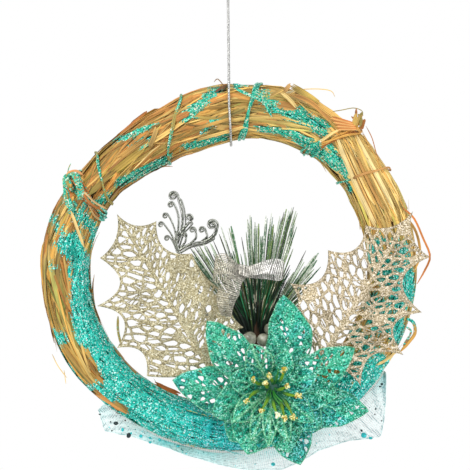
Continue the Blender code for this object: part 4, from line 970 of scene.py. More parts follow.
def openwork(rng, outline, veins, spacing, strand, rim, halves, stretch=1.4, mid=1.4, open_=None, round_=0.27, vary=(0.42, 0.60)):
    """Triangles of an openwork sheet in its own flat frame (along, across). veins are (line, start width, end width); halves gives the direction in which the cells run on each side of the midrib, and how fine they are."""
    lo, hi = outline.min(0), outline.max(0)
    holes, ridges = [], []
    for side, (along, fine) in halves.items():
        along = np.array(along, float) / math.hypot(*along)
        l, h = lo.copy(), hi.copy()
        if side > 0:
            l[1] = 0
        else:
            h[1] = 0
        for cell in cell_mesh(rng, l, h, spacing * fine, along, stretch):
            cell = clip(cell, np.array([0.0, -float(side)]), -mid * 0.3)
            if cell is None:
                continue
            if area_of(cell) < 0:
                cell = cell[::-1]
            hole = inset(cell, strand * rng.uniform(*vary))
            ridges.append(cell)
            if hole is None or area_of(hole) < spacing * spacing * 0.06 or (open_ and rng.random() > open_(*hole.mean(0))):
                continue
            holes.append(soften(hole, round_))
    bands = [ribbon_of(*v) for v in veins]
    t = unit(np.roll(outline, -1, 0) - np.roll(outline, 1, 0))
    inner = outline + np.stack([-t[:, 1], t[:, 0]], 1) * rim
    verts, edges, faces = [], [], []
    for poly in holes:
        faces.append(list(range(len(verts), len(verts) + len(poly))))
        verts += [Vector(p) for p in poly]
    for poly, closed in [(outline, 1), (inner, 1)] + [(p, 1) for p in bands] + [(p, 1) for p in ridges] + [(p[0], 0) for p in veins]:
        k, m = len(verts), len(poly)
        verts += [Vector(p) for p in poly]
        edges += [(k + i, k + (i + 1) % m) for i in range(m - 1 + closed)]
    out = geometry.delaunay_2d_cdt(verts, edges, faces, 0, 0.02, True)
    v = np.array([tuple(p) for p in out[0]])
    full = [k for k, tri in enumerate(out[2]) if len(tri) == 3]
    tris = np.array([out[2][k] for k in full], int)
    hollow = np.array([len(out[5][k]) > 0 for k in full])
    c = v[tris].mean(1)
    whole = away(c, outline, np.roll(outline, -1, 0))[0].min(1) < rim
    for path, w0, w1 in veins:
        r, f = away(c, path[:-1], path[1:])
        near_ = r.argmin(1)
        f = (near_ + f[np.arange(len(c)), near_]) / (len(path) - 1)
        whole |= r.min(1) < (w0 + (w1 - w0) * f) / 2
    return v, tris[within(c, outline) & (whole | ~hollow)]


def drop_loose(v, tris):
    """Only the largest connected part of a set of triangles."""
    label = np.arange(len(v))
    while True:
        low = label[tris].min(1)
        new = label.copy()
        for c in range(3):
            np.minimum.at(new, tris[:, c], low)
        new = new[new]
        if (new == label).all():
            break
        label = new
    group = label[tris[:, 0]]
    values, counts = np.unique(group, return_counts=True)
    return tris[group == values[np.argmax(counts)]]


def shell(pile, v, tris, lift, thick, reach, veins, tint, vein_tint, vein_rise, back=0.6, pale=0.0, border=None, border_pale=0.0):
    """Gives a flat openwork a rounded thickness and its place. lift maps (along, across) to world points."""
    tris = drop_loose(v, tris)
    used, flat = np.unique(tris, return_inverse=True)
    tris = flat.reshape(-1, 3)
    v = v[used]
    a, b, c = v[tris[:, 0]], v[tris[:, 1]], v[tris[:, 2]]
    turn = (b[:, 0] - a[:, 0]) * (c[:, 1] - a[:, 1]) - (b[:, 1] - a[:, 1]) * (c[:, 0] - a[:, 0])
    tris = np.where((turn < 0)[:, None], tris[:, ::-1], tris)
    half = np.concatenate([tris[:, [0, 1]], tris[:, [1, 2]], tris[:, [2, 0]]])
    code, back_code = half[:, 0] * len(v) + half[:, 1], half[:, 1] * len(v) + half[:, 0]
    rim = half[~np.isin(code, back_code)]
    edge = np.zeros(len(v), bool)
    edge[rim.ravel()] = True
    E = v[edge]
    near_ = np.full(len(v), reach)
    for k in range(0, len(v), 512):
        d = np.hypot(v[k:k + 512, None, 0] - E[None, :, 0], v[k:k + 512, None, 1] - E[None, :, 1]).min(1)
        near_[k:k + 512] = np.minimum(d, reach)
    near_[edge] = 0
    h = thick * (0.38 + 0.62 * np.sqrt(np.clip(1 - (1 - near_ / reach) ** 2, 0, 1)))
    vein = np.zeros(len(v))
    for path, w0, w1 in veins:
        w = np.linspace(w0, w1, len(path))
        d = np.hypot(v[:, None, 0] - path[None, :, 0], v[:, None, 1] - path[None, :, 1]) / np.maximum(w[None], 0.8)
        vein = np.maximum(vein, np.exp(-(d.min(1)) ** 2))
    h = h + vein_rise * vein * (near_ / reach)
    hem_ = np.zeros(len(v))
    if border is not None:
        for k in range(0, len(v), 1024):
            hem_[k:k + 1024] = away(v[k:k + 1024], border, np.roll(border, -1, 0))[0].min(1)
        hem_ = np.clip(1.15 - hem_ / 1.7, 0, 1) * border_pale
    P = lift(v[:, 0], v[:, 1])
    e = 0.05
    Pu, Pv = lift(v[:, 0] + e, v[:, 1]), lift(v[:, 0], v[:, 1] + e)
    N = unit(np.cross(Pu - P, Pv - P))
    flip = N[:, 1].mean() > 0
    if flip:
        N = -N
    front, rear = P + N * h[:, None], P - N * (h * back)[:, None]
    f = tris if not flip else tris[:, ::-1]
    r = rim if not flip else rim[:, ::-1]
    n = len(v)
    walls = np.stack([r[:, 1], r[:, 0], r[:, 0] + n, r[:, 1] + n], 1)
    faces = f.tolist() + (f[:, ::-1] + n).tolist() + walls.tolist()
    color = np.asarray(tint(v[:, 0], v[:, 1], vein, near_ / reach), float) * (1 - vein[:, None]) + np.asarray(vein_tint, float) * vein[:, None]
    pile.add(np.concatenate([front, rear]), faces, tint=np.concatenate([color, color * 0.9]), pale=np.tile(np.maximum(vein * pale, hem_), 2))


# ---------------------------------------------------------------- holly leaves
def bowed(a, b, depth, n):
    a, b = np.asarray(a, float), np.asarray(b, float)
    d = b - a
    c = (a + b) / 2 + np.array([-d[1], d[0]]) / max(math.hypot(*d), 1e-9) * depth * 2
    t = np.linspace(0, 1, n, endpoint=False)[:, None]
    return a * (1 - t) ** 2 + c * 2 * t * (1 - t) + b * t * t


def leaf_outline(right, left, length, bays):
    path = [(-6.0, -2.4), (2.0, -3.0)] + right + [(length, 0.0)]
    back = [(length, 0.0)] + list(reversed(left)) + [(2.0, 3.0), (-6.0, 2.4)]
    out = []
    for seq, shares in ((path, bays[0]), (back, bays[1][::-1])):
        shares = iter(shares)
        for a, b in zip(seq, seq[1:]):
            if -6.0 in (a[0], b[0]):
                out.append(np.array([a], float))
            else:
                out.append(bowed(a, b, math.dist(a, b) * next(shares), 15))
    out.append(np.array([back[-1]], float))
    return np.concatenate(out)


def leaf_lift(base, tip, depth):
    base, tip = np.asarray(base, float), np.asarray(tip, float)
    length = math.hypot(*(tip - base))
    d = (tip - base) / length
    n = np.array([d[1], -d[0]])

    def lift(s, q):
        return at(base[0] + d[0] * s + n[0] * q, base[1] + d[1] * s + n[1] * q, depth(s / length, q))
    return lift, length


def stem_rise(t):
    return 0.0036 * np.clip(-t / 0.26, 0, 1)


def left_depth(t, q):
    return stem_rise(t) - 0.0203 - 0.0035 * t * t + 0.13 * np.maximum(0.0, -q) * GRID * np.minimum(1.0, np.maximum(t, 0) * 2.0) - 0.0008 * np.exp(-(q / 7.0) ** 2) + 0.0006 * np.sin(q / 9.0 + t * 5)


def right_depth(t, q):
    return stem_rise(t) - 0.0206 - 0.0040 * t * t + 0.0015 * t * np.sin(q / 16.0) + 0.06 * np.maximum(0.0, q) * GRID * np.minimum(1.0, np.maximum(t, 0) * 2.0) - 0.0008 * np.exp(-(q / 7.0) ** 2) + 0.0006 * np.sin(q / 10.0 + t * 6)


LEFT_INNER = [(22.0, -50.0), (58.0, -55.0), (112.0, -44.0), (158.0, -30.0)]
LEFT_OUTER = [(30.0, 58.0), (69.5, 69.0), (115.8, 64.6), (155.4, 37.3)]
RIGHT_OUTER = [(5.0, -47.0), (54.0, -67.0), (100.0, -60.5), (151.5, -38.5)]
RIGHT_INNER = [(20.0, 50.0), (56.0, 67.0), (104.0, 52.0), (145.0, 33.0)]
SHADES = {"holly_leaf_left": (1.0, 0.98, 0.88), "holly_leaf_right": (1.12, 1.02, 0.98)}
# how deep the edge curves in between spikes, from base to tip, as a share of its length: right side, left side
BAYS = {"holly_leaf_left": ((0.15, 0.15, 0.10, 0.30, 0.20), (-0.05, 0.34, 0.39, 0.45, 0.16)),
        "holly_leaf_right": ((0.15, 0.34, 0.43, 0.42, 0.20), (0.15, 0.25, 0.33, 0.31, 0.18))}
for name, base, tip, right, left, depth, seed, fine in (
        ("holly_leaf_left", (212, 372), (117, 214), LEFT_INNER, LEFT_OUTER, left_depth, 11, {1: 1.0, -1: 0.74}),
        ("holly_leaf_right", (318, 366), (413, 211), RIGHT_OUTER, RIGHT_INNER, right_depth, 12, {1: 0.95, -1: 0.98})):
    rng = np.random.default_rng(seed)
    lift, length = leaf_lift(base, tip, depth)
    outline = leaf_outline(right, left, length, BAYS[name])
    veins = [(curve([(-6, 0), (length * 0.3, 1.2), (length * 0.65, -0.8), (length - 3, 0)], 40), 4.4, 1.8)]
    for spikes in (right, left):
        for s, q in spikes:
            s0 = max(3.0, s - 0.62 * abs(q))
            veins.append((curve([(s0, 0), (s0 + (s - s0) * 0.42, q * 0.5), (s - 1.2, q * 0.965)], 22), 3.0, 1.3))
            if s0 > 14:
                sub = s0 - 15
                veins.append((curve([(sub, 0), (sub + 9, q * 0.30), (sub + 22, q * 0.56)], 14), 2.3, 1.4))
    # loose straight strands laid over the cells break them into angular gaps
    strands = []
    for _ in range(128):
        x, y = rng.uniform(6, length - 14), rng.uniform(-50, 56)
        a = math.copysign(rng.choice([0.45, 0.9, 1.35, 1.9]) + rng.normal(0, 0.22), y)
        reach_ = rng.uniform(7, 17)
        ends = np.array([[x - reach_ * math.cos(a), y - reach_ * math.sin(a)], [x + reach_ * math.cos(a), y + reach_ * math.sin(a)]])
        if within(ends, outline).all() and ends[0, 1] * ends[1, 1] > 0:
            strands.append((curve(np.array([ends[0], ends.mean(0) + rng.normal(0, 0.8, 2), ends[1]]), 8), rng.uniform(0.9, 1.6), rng.uniform(0.8, 1.3)))
    if name == "holly_leaf_left":
        keep = lambda x, y: 0.42 if 24 < x < 112 and y < -16 else (0.80 if x < 62 else 1.0)
    else:
        keep = lambda x, y: 0.90
    v, tris = openwork(rng, outline, veins + strands, 7.6, 2.8, 2.4, {1: ((0.66, 0.75), fine[1]), -1: ((0.66, -0.75), fine[-1])}, 1.75, open_=keep, round_=0.15, vary=(0.30, 0.72))
    pile = Pile()
    shade = np.array(SHADES[name])
    wave = rng.uniform(0, 6, 3)
    tint = lambda s, q, vein, mid: shade * (0.86 + 0.20 * np.sin(s / 9 + wave[0]) * np.sin(q / 8 + wave[1]) + 0.12 * mid)[:, None]
    shell(pile, v, tris, lift, 0.00052, 1.0, veins, tint, shade * 1.10, 0.0004)
    stem = lift(np.linspace(-54, 4, 20), np.zeros(20))
    sv, sf = tube(stem, 0.0009, 8)
    pile.add(sv, sf, tint=np.tile(shade, (len(sv), 1)))
    ob = pile.build(name + "_lattice", CHAMPAGNE, "champagne_glitter", colors=("tint",), sharp=65)
    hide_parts(name)

# ---------------------------------------------------------------- poinsettia
FLOWER_U, FLOWER_V = 272.0, 387.0
# petals: direction, length, half width, sideways bow, roll, share of the holes left open, how pale the ribs are
LAYERS = {
    "poinsettia_back_petals": ([(83, 93, 22.5, -12, 0.08, 0.3, 0.2), (176, 100, 23, 7, 0.08, 0.6, 0.2), (232, 69, 25, 0, 0.08, 0.5, 0.2), (290, 83, 23, 2, 0.08, 0.95, 0.2), (346, 100, 21.5, -6, 0.08, 0.4, 0.2), (205, 62, 20, 0, 0.06, 0.3, 0.2), (318, 64, 21, 0, 0.06, 0.4, 0.2)],
                               lambda r: -0.0235 - 0.0040 * np.sin(np.pi * np.minimum(r / 95.0, 1.0)), 0.0008),
    "poinsettia_middle_petals": ([(25.3, 92, 19.5, -6, 0.09, 0.5, 0.25), (134.6, 93, 20.5, 5.5, 0.09, 0.3, 0.25), (205, 66, 21, 0, 0.09, 0.7, 0.3), (250, 72, 25, -3, 0.09, 0.6, 0.3), (284, 68, 21, 0, 0.09, 0.6, 0.3), (322, 63, 20, 0, 0.09, 0.6, 0.3), (352, 66, 18, 0, 0.09, 0.6, 0.25)],
                                 lambda r: -0.0272 - 0.0094 * np.sin(np.pi * 0.62 * np.minimum(r / 95.0, 1.1)), -0.0006),
    "poinsettia_front_petals": ([(15, 47, 15, 0, 0.10, 0.7, 0.3), (66, 40, 12, 0, 0.10, 0.4, 0.25), (116, 48.5, 14, 1, 0.10, 0.9, 0.75), (168, 45, 14, 0, 0.10, 0.8, 0.4), (222, 53, 12, 0, 0.10, 1.0, 0.75), (249, 58, 8.5, 0, 0.06, 1.0, 0.8), (267, 60, 7.5, 0, 0.06, 1.0, 0.8), (287, 58, 9, 0, 0.08, 1.0, 0.7), (320, 55, 13, 0, 0.10, 0.9, 0.5)],
                                lambda r: -0.0302 - 0.0136 * np.sin(np.pi * 0.55 * np.minimum(np.maximum(r - 9.0, 0) / 46.0, 1.4)), -0.0012)}


def petal_half(t, width):
    t = np.clip(t, 0, 1)
    return 2.6 * (1 - t) ** 2 + width * np.sin(np.pi * t ** 1.08) ** 0.82


for layer, (name, (petals, height, cup)) in enumerate(LAYERS.items()):
    pile = Pile()
    for k, (deg, length, width, bow, roll, open_share, pale_) in enumerate(petals):
        rng = np.random.default_rng(200 + 20 * layer + k)
        t = np.linspace(0, 1, 22)
        start = 4.0
        side = petal_half(t, width) * (1 + 0.035 * np.sin(t * 21 + k) * (t < 0.92))
        line = start + (length - start) * t
        outline = np.concatenate([np.stack([line, -side], 1)[:-1], [[length, 0.0]], np.stack([line, side], 1)[:-1][::-1]])
        span = length - start
        front = layer == 2
        veins = [(curve([(start, 0), (length * 0.5, 0.6), (length - 2, 0)], 26), 2.4, 1.1)]
        for f in ((0.06, 0.18, 0.32, 0.47, 0.63) if length > 58 and width > 12 else (0.12, 0.42)):
            for sgn in (-1, 1):
                s0, s1 = start + span * f, start + span * min(f + 0.30, 0.93)
                reach_ = float(petal_half(np.array([(s1 - start) / span]), width)[0])
                veins.append((curve([(s0, 0), (s0 + (s1 - s0) * 0.45, sgn * reach_ * 0.58), (s1, sgn * reach_ * 0.94)], 16), 1.7, 1.0))
        gap = lambda x, y: open_share * (0.40 + 0.60 * math.sin(math.pi * min(max((x - start) / span, 0), 1)))
        v, tris = openwork(rng, outline, veins, 6.0 if not front else 5.2, 2.6 if not front else 1.8, 1.7, {1: ((0.86, 0.50), 1.0), -1: ((0.86, -0.50), 1.0)}, 1.3, 1.2, open_=gap, round_=0.20)
        a = math.radians(deg)
        d, n = np.array([math.cos(a), -math.sin(a)]), np.array([-math.sin(a), -math.cos(a)])
        off = rng.uniform(-0.0003, 0.0003)

        def lift(x, q, d=d, n=n, width=width, bow=bow, roll=roll, off=off, length=length, start=start):
            b = q + bow * np.sin(np.pi * np.clip((x - start) / (length - start), 0, 1))
            u, w = FLOWER_U + d[0] * x + n[0] * b, FLOWER_V + d[1] * x + n[1] * b
            f = np.clip((x - start) / 18.0, 0, 1)
            y = height(x) + off + (roll * q * GRID + cup * (q / width) ** 2 + 0.0007 * np.sin(x / 8.0 + q / 7.0 + length) - 0.0008 * np.exp(-(q / 3.0) ** 2)) * f
            return at(u, w, y)

        wave = rng.uniform(0, 6, 2)
        hub_shade_span = (0.62, 0.50, 0.30)[layer] * length

        # painted shade: each petal is painted darker towards the hub, over a longer span on the layers that lie under
        # others; one half is painted darker along the midrib, and the side edges a little darker, as if turned from the
        # light
        def petal_shade(x, q, vein, mid, wave=wave, hub_shade_span=hub_shade_span, width=width):
            out = np.clip((x - 8) / hub_shade_span, 0, 1)[:, None]
            fold_shade = 1.0 - 0.20 / (1.0 + np.exp(-q / 1.5)) - 0.10 * (np.abs(q) / width) ** 2
            return (np.array([0.06, 0.38, 0.44]) * (1 - out) + np.array([0.52, 0.98, 0.92]) * out) * (fold_shade * (0.96 + 0.16 * np.sin(x / 11 + wave[0]) * np.sin(q / 9 + wave[1])))[:, None]

        shell(pile, v, tris, lift, 0.00040, 1.1, veins, petal_shade, (0.66, 1.0, 0.94), 0.00035, pale=pale_, border=outline, border_pale=max(0.5, pale_))
    if layer == 0:
        neck = curve(at(np.array([FLOWER_U, FLOWER_U - 0.5, FLOWER_U - 1.5]), np.array([FLOWER_V, FLOWER_V + 6, FLOWER_V + 14]), np.array([-0.0240, -0.0205, -0.0165])), 12)
        v, f = tube(neck, np.linspace(0.0048, 0.0026, 12), 12)
        pile.add(v, f, tint=np.tile((0.5, 0.7, 0.8), (len(v), 1)), pale=np.zeros(len(v)))
    v, f = ball(at(FLOWER_U, FLOWER_V, (-0.0240, -0.0285, -0.0320)[layer]), 0.0042, 8, 16, (1, 0.45, 1))
    pile.add(v, f, tint=np.tile((0.25, 0.5, 0.6), (len(v), 1)), pale=np.zeros(len(v)))
    ob = pile.build(name + "_openwork", FLOWER, "teal_glitter", colors=("tint",), floats=("pale",), sharp=65)
    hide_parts(name)

# ---------------------------------------------------------------- stamens
m = Mat("stamen_lime", 0.35, 0.0, 0.5, lin(150, 190, 40))
where = m.place()
grain = m.noise(where, 2600.0, 2.0)
sparkle = m.node("ShaderNodeSeparateColor", out=0, i0=m.cells(where, 1500.0))
color = m.mix(1.0, m.attr("tint"), m.ramp(grain, [(0.3, 0.72), (0.5, 1.0), (0.7, 1.3)]), "MULTIPLY")
m.set("Base Color", m.mix(m.math("MULTIPLY", m.math("GREATER_THAN", sparkle, 0.72), m.attr("bead", out=2)), color, lin(250, 240, 170)))
m.set("Normal", m.bump(grain, 0.4, 0.0003))
LIME = m.m
STAMENS = [(-3, -11.5, 3), (16, -1, 5), (-26, 15, 2), (-11, 24.5, 4), (5.5, 29, 1), (13, 32.5, 5), (13, -18, 4), (27, 9, 1), (-7, -4.5, 8), (22, 31, 2), (-19, -7, 6)]
rng = np.random.default_rng(77)
pile = Pile()
v, f = ball(at(FLOWER_U, FLOWER_V, -0.0343), 0.0048, 8, 14, (1, 0.6, 1))
pile.add(v, f, tint=np.tile(lin(14, 84, 66), (len(v), 1)), bead=np.zeros(len(v)))
GRAINS = [lin(180, 160, 36), lin(128, 156, 46), lin(198, 184, 84), lin(164, 128, 30), lin(72, 124, 52), lin(190, 204, 150)]
for k, (du, dv, rise) in enumerate(STAMENS):
    tip_y = -0.0470 - rise * 0.0004
    p0 = np.array([FLOWER_U + du * 0.12, FLOWER_V + dv * 0.12, -0.0345])
    p3 = np.array([FLOWER_U + du, FLOWER_V + dv, tip_y])
    bend = rng.uniform(-3.5, 3.5, 2)
    mid_ = (p0 + p3) / 2 + [bend[0], bend[1], 0.0012]
    c = np.array([p0, mid_, p3])
    path = curve(at(c[:, 0], c[:, 1], c[:, 2]), 14)
    s_ = np.linspace(0, 1, 14)
    v, f = tube(path, 0.00055 + 0.00060 * np.sin(np.pi * np.clip(s_ * 1.1, 0, 1)) ** 2, 8)
    lime = np.clip((s_ - 0.30) / 0.25, 0, 1)[:, None]
    col = np.array(lin(20, 110, 74)) * (1 - lime) + np.array(lin(112, 158, 30)) * rng.uniform(0.65, 1.1) * lime
    pile.add(v, f, tint=np.repeat(col, 8, axis=0), bead=np.zeros(len(v)))
    along_ = unit(path[-1] - path[-3])
    for g in range(20):        # each tip is a ragged cluster of small grains
        offset = rng.normal(0, 1, 3)
        offset = offset / np.linalg.norm(offset) * rng.uniform(0.2, 1.0) * 0.0019 + along_ * rng.uniform(-0.0022, 0.0008)
        offset[1] = 0.4 * offset[1] + 0.0004
        v, f = ball(path[-1] + offset * (g > 0), rng.uniform(0.00045, 0.00105), 5, 6)
        col = GRAINS[rng.integers(0, 6)] if k != 4 else lin(226, 236, 214)
        pile.add(v, f, tint=np.tile(col, (len(v), 1)), bead=np.ones(len(v)))
for k in range(10):           # short bare stalks between them
    a = rng.uniform(0, 6.28)
    r = rng.uniform(10, 19)
    p = np.array([[FLOWER_U + 1.5 * math.cos(a), FLOWER_V + 1.5 * math.sin(a), -0.0345], [FLOWER_U + r * 0.5 * math.cos(a + 0.2), FLOWER_V + r * 0.5 * math.sin(a + 0.2), -0.0400],
                  [FLOWER_U + r * math.cos(a), FLOWER_V + r * math.sin(a), -0.0440]])
    v, f = tube(curve(at(p[:, 0], p[:, 1], p[:, 2]), 10), np.linspace(0.0006, 0.0004, 10), 6)
    pile.add(v, f, tint=np.tile(np.array(lin(60, 150, 60)) * rng.uniform(0.5, 1.0), (len(v), 1)), bead=np.zeros(len(v)))
ob = pile.build("poinsettia_stamens_fine", LIME, "stamen_lime", colors=("tint",), floats=("bead",))
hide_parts("poinsettia_stamens")

# ---------------------------------------------------------------- pine needles
m = Mat("pine_green", 0.5, 0.0, 0.4, lin(40, 90, 60))
where = m.place()
frost = m.node("ShaderNodeSeparateColor", out=0, i0=m.cells(where, 1500.0))
blotch = m.noise(where, 420.0, 3.0)
amount = m.math("ADD", m.attr("frost", out=2), m.math("MULTIPLY", m.math("SUBTRACT", blotch, 0.5), 1.3))
base = m.mix(1.0, m.attr("tint"), m.ramp(m.noise(where, 900.0), [(0.3, 0.6), (0.5, 1.0), (0.7, 1.35)]), "MULTIPLY")
silver = m.ramp(frost, [(0.0, lin(150, 162, 146)), (0.5, lin(198, 206, 192)), (0.9, lin(242, 245, 238))])
m.set("Base Color", m.mix(m.math("GREATER_THAN", amount, m.math("MULTIPLY_ADD", frost, 0.5, 0.25)), base, silver))
PINE = m.m
PINE_U, PINE_V, PINE_Y = 256.0, 342.0, -0.0080
rng = np.random.default_rng(31)
pile = Pile()
stem = curve(at(np.array([258.0, 257.5, 256.5, 256.0, 256.0]), np.array([403.0, 380.0, 358.0, 345.0, 330.0]), np.array([-0.0080] * 5)), 24)
v, f = tube(stem, np.linspace(0.0012, 0.0022, 24), 10)
pile.add(v, f, tint=np.tile(lin(78, 56, 36), (len(v), 1)), frost=np.zeros(len(v)))
core_ = curve(at(np.array([256.0, 256.0, 256.5, 257.0]), np.array([338.0, 318.0, 298.0, 276.0]), np.array([-0.0080] * 4)), 16)
v, f = tube(core_, np.linspace(0.0030, 0.0012, 16), 8)
pile.add(v, f, tint=np.tile(lin(64, 42, 24), (len(v), 1)), frost=np.zeros(len(v)))


def needle(deg, length, foot, side, bend, width, tint, frost, n=12, gleam=None):
    """One flat needle from the tuft out to the edge of its fan. foot is how far up the stem it starts, side how far to front or rear it leans."""
    s = np.linspace(0, 1, n)
    a = math.radians(deg)
    u0, v0 = PINE_U + 11.0 * math.sin(a * 1.4), PINE_V - foot - 3.0 * (1 - math.cos(a))
    ang = a * (0.55 + 0.45 * np.minimum(s * 2.4, 1.0)) + bend * s * s
    step = (length - foot * math.cos(a)) / (n - 1)
    u = u0 + np.concatenate([[0], np.cumsum(np.sin(ang[:-1]) * step)])
    v = v0 - np.concatenate([[0], np.cumsum(np.cos(ang[:-1]) * step)])
    y = PINE_Y + side * 0.0072 * np.sin(np.minimum(s * 1.6, 1.3)) / math.sin(1.3)
    P = at(u, v, y)
    turn = rng.uniform(-0.9, 0.9)
    N = np.tile([math.sin(turn), -math.cos(turn), 0.0], (n, 1))
    T = unit(np.gradient(P, axis=0))
    N = unit(N - T * (N * T).sum(-1, keepdims=True))
    w = width / 2 * (1 - 0.75 * np.clip((s - 0.86) / 0.14, 0, 1)) * (0.7 + 0.3 * np.clip(s / 0.2, 0, 1))
    V, F = sweep(P[None], N[None], np.cross(T, N)[None], w[None], w[None] * 0 + 0.00022, [(1, 0), (0, 1), (-1, 0), (0, -1)])
    # painted shade: each needle is near black at its foot and reaches its own colour half way out, for the shade deep
    # in the tuft
    dark = np.clip((s - 0.22) / 0.30, 0, 1)[:, None]
    col = np.array(lin(8, 22, 14)) * (1 - dark) + np.asarray(tint) * dark
    if gleam is not None:
        col = col + (np.array(lin(222, 214, 186)) - col) * ((s > gleam) & (s < gleam + 0.13))[:, None]
    pile.add(V, F, tint=np.repeat(col * rng.uniform(0.8, 1.15), 4, axis=0), frost=np.repeat(frost * np.clip((s - 0.35) / 0.4, 0, 1), 4))


def needle_to(u1, v1, width, tint, frost, side, n=14):
    """One needle from the tuft to a tip at layout point (u1, v1)."""
    s = np.linspace(0, 1, n)[:, None]
    a = np.array([PINE_U + 0.16 * (u1 - PINE_U), PINE_V - rng.uniform(0, 16)])
    b = np.array([u1, v1], float)
    mid_ = (a + b) / 2 + [-0.07 * (b[0] - a[0]) + rng.normal(0, 0.8), 0]
    p = a * (1 - s) ** 2 + 2 * mid_ * s * (1 - s) + b * s * s
    y = PINE_Y + side * 0.0070 * np.sin(np.minimum(s[:, 0] * 1.6, 1.3)) / math.sin(1.3)
    P = at(p[:, 0], p[:, 1], y)
    turn = rng.uniform(-0.7, 0.7)
    N = np.tile([math.sin(turn), -math.cos(turn), 0.0], (n, 1))
    T = unit(np.gradient(P, axis=0))
    N = unit(N - T * (N * T).sum(-1, keepdims=True))
    s = s[:, 0]
    w = width / 2 * (1 - 0.6 * np.clip((s - 0.95) / 0.05, 0, 1)) * (0.7 + 0.3 * np.clip(s / 0.2, 0, 1))
    V, F = sweep(P[None], N[None], np.cross(T, N)[None], w[None], w[None] * 0 + 0.00022, [(1, 0), (0, 1), (-1, 0), (0, -1)])
    # painted shade: the needle is near black at its foot and brightens to its own colour, for the shade deep in the
    # tuft
    light = np.clip((s - 0.25) / 0.30, 0, 1)[:, None]
    col = np.array(lin(8, 26, 16)) * (1 - light) + np.asarray(tint) * light
    pile.add(V, F, tint=np.repeat(col, 4, axis=0), frost=np.repeat(frost * np.clip((s - 0.35) / 0.4, 0, 1), 4))


# tips of the needles that stand clear: place, and F frosted, G green, D dark and thin, W broad
TIPS = [(189.5, 247, "D"), (192, 249, "F"), (193, 245, "D"), (196.5, 247, "F"), (199.5, 246, "G"), (203, 243, "F"), (206.5, 246, "D"), (210, 243, "F"), (193, 259, "W"), (195.5, 266, "G"),
        (213, 240, "D"), (219, 234, "D"), (221, 226.5, "F"), (224, 247, "F"), (229, 228, "G"), (231, 226, "W"), (226, 240, "D"), (236, 252, "G"), (241.5, 237, "D"), (244, 249, "F"),
        (247.5, 219, "F"), (250, 215, "F"), (252.5, 246, "G"), (255, 222, "F"), (258.7, 223.5, "W"), (262.5, 236, "G"), (266, 215.5, "F"), (268.5, 229, "D"), (271.5, 213, "F"), (273.5, 224.5, "W"), (277, 235, "G"),
        (280, 216, "F"), (282, 222, "G"), (284, 212, "D"), (286.5, 209, "W"), (289, 210.5, "F"), (290.5, 214, "G"), (292, 207.5, "F"), (293.8, 207, "D"), (296, 211, "F"), (295.5, 223, "F"), (292, 228, "G"), (290, 236, "F"),
        (290, 265, "D"), (294, 272, "G"), (298.5, 268.5, "G"), (306, 250.5, "D"), (303, 259, "F"), (312, 260, "G"), (315, 255.5, "F"), (318.5, 253, "W"), (317, 260, "W"), (313, 267, "F"), (309, 271, "G"), (303, 277, "D")]
GREENS = [lin(74, 120, 78), lin(52, 104, 66), lin(104, 138, 74), lin(86, 120, 96), lin(128, 152, 92)]
RIME = [lin(214, 222, 206), lin(196, 208, 186), lin(230, 234, 222), lin(184, 200, 176)]
for k, (u1, v1, kind) in enumerate(TIPS):
    side = rng.uniform(-1, 1)
    if kind == "D":
        needle_to(u1, v1, 0.00075, lin(58, 60, 52), 0.1, side)
        needle_to(u1 + rng.normal(0, 1.2), v1 + rng.uniform(6, 24), 0.0008, GREENS[k % 5], 0.2, side + 0.1)
    elif kind == "F":
        needle_to(u1, v1, 0.0012, RIME[k % 4], 0.55, side)
        needle_to(u1 + 1.3, v1 + rng.uniform(1, 5), 0.0008, GREENS[k % 5], 0.25, side + 0.12)
        needle_to(u1 - rng.uniform(0.8, 2.2), v1 + rng.uniform(6, 22), 0.0009, GREENS[(k + 2) % 5], 0.45, side - 0.12)
    else:
        wide_ = 0.0017 if kind == "W" else 0.0012
        needle_to(u1, v1, wide_, GREENS[k % 5], 0.28, side)
        needle_to(u1 - 1.2, v1 + rng.uniform(1, 4), 0.0006, RIME[k % 4], 0.5, side - 0.14)
        needle_to(u1 + rng.uniform(0.8, 2.4), v1 + rng.uniform(8, 28), 0.0011, GREENS[(k + 1) % 5], 0.4, side + 0.12)
HEART = [lin(10, 30, 18), lin(18, 70, 40), lin(30, 124, 76), lin(14, 42, 26), lin(24, 96, 56), lin(84, 58, 30), lin(66, 92, 34), lin(8, 18, 12)]
for k in range(300):          # the heart of the tuft: the near-black colours in HEART are painted shade among the crowded needles
    deg = float(np.clip(rng.normal(3, 19), -43, 43))
    needle(deg, rng.uniform(40, 78), rng.uniform(-4, 22), rng.uniform(-1.05, 1.0), rng.normal(0, 0.07), rng.uniform(0.0006, 0.0012), HEART[k % 8], 0.0 if k % 7 else 0.45, 9)
for k in range(22):           # needles that catch the light part of the way
    deg = float(np.clip(rng.normal(8, 17), -38, 42))
    needle(deg, rng.uniform(50, 84), rng.uniform(0, 22), -1.08, rng.normal(0, 0.06), rng.uniform(0.00042, 0.00062), (lin(26, 84, 50), lin(60, 70, 36))[k % 2], 0.0, 14, gleam=rng.uniform(0.15, 0.75))
ob = pile.build("pine_needles", PINE, "pine_green", colors=("tint",), floats=("frost",), smooth=False)
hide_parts("pine_sprig")

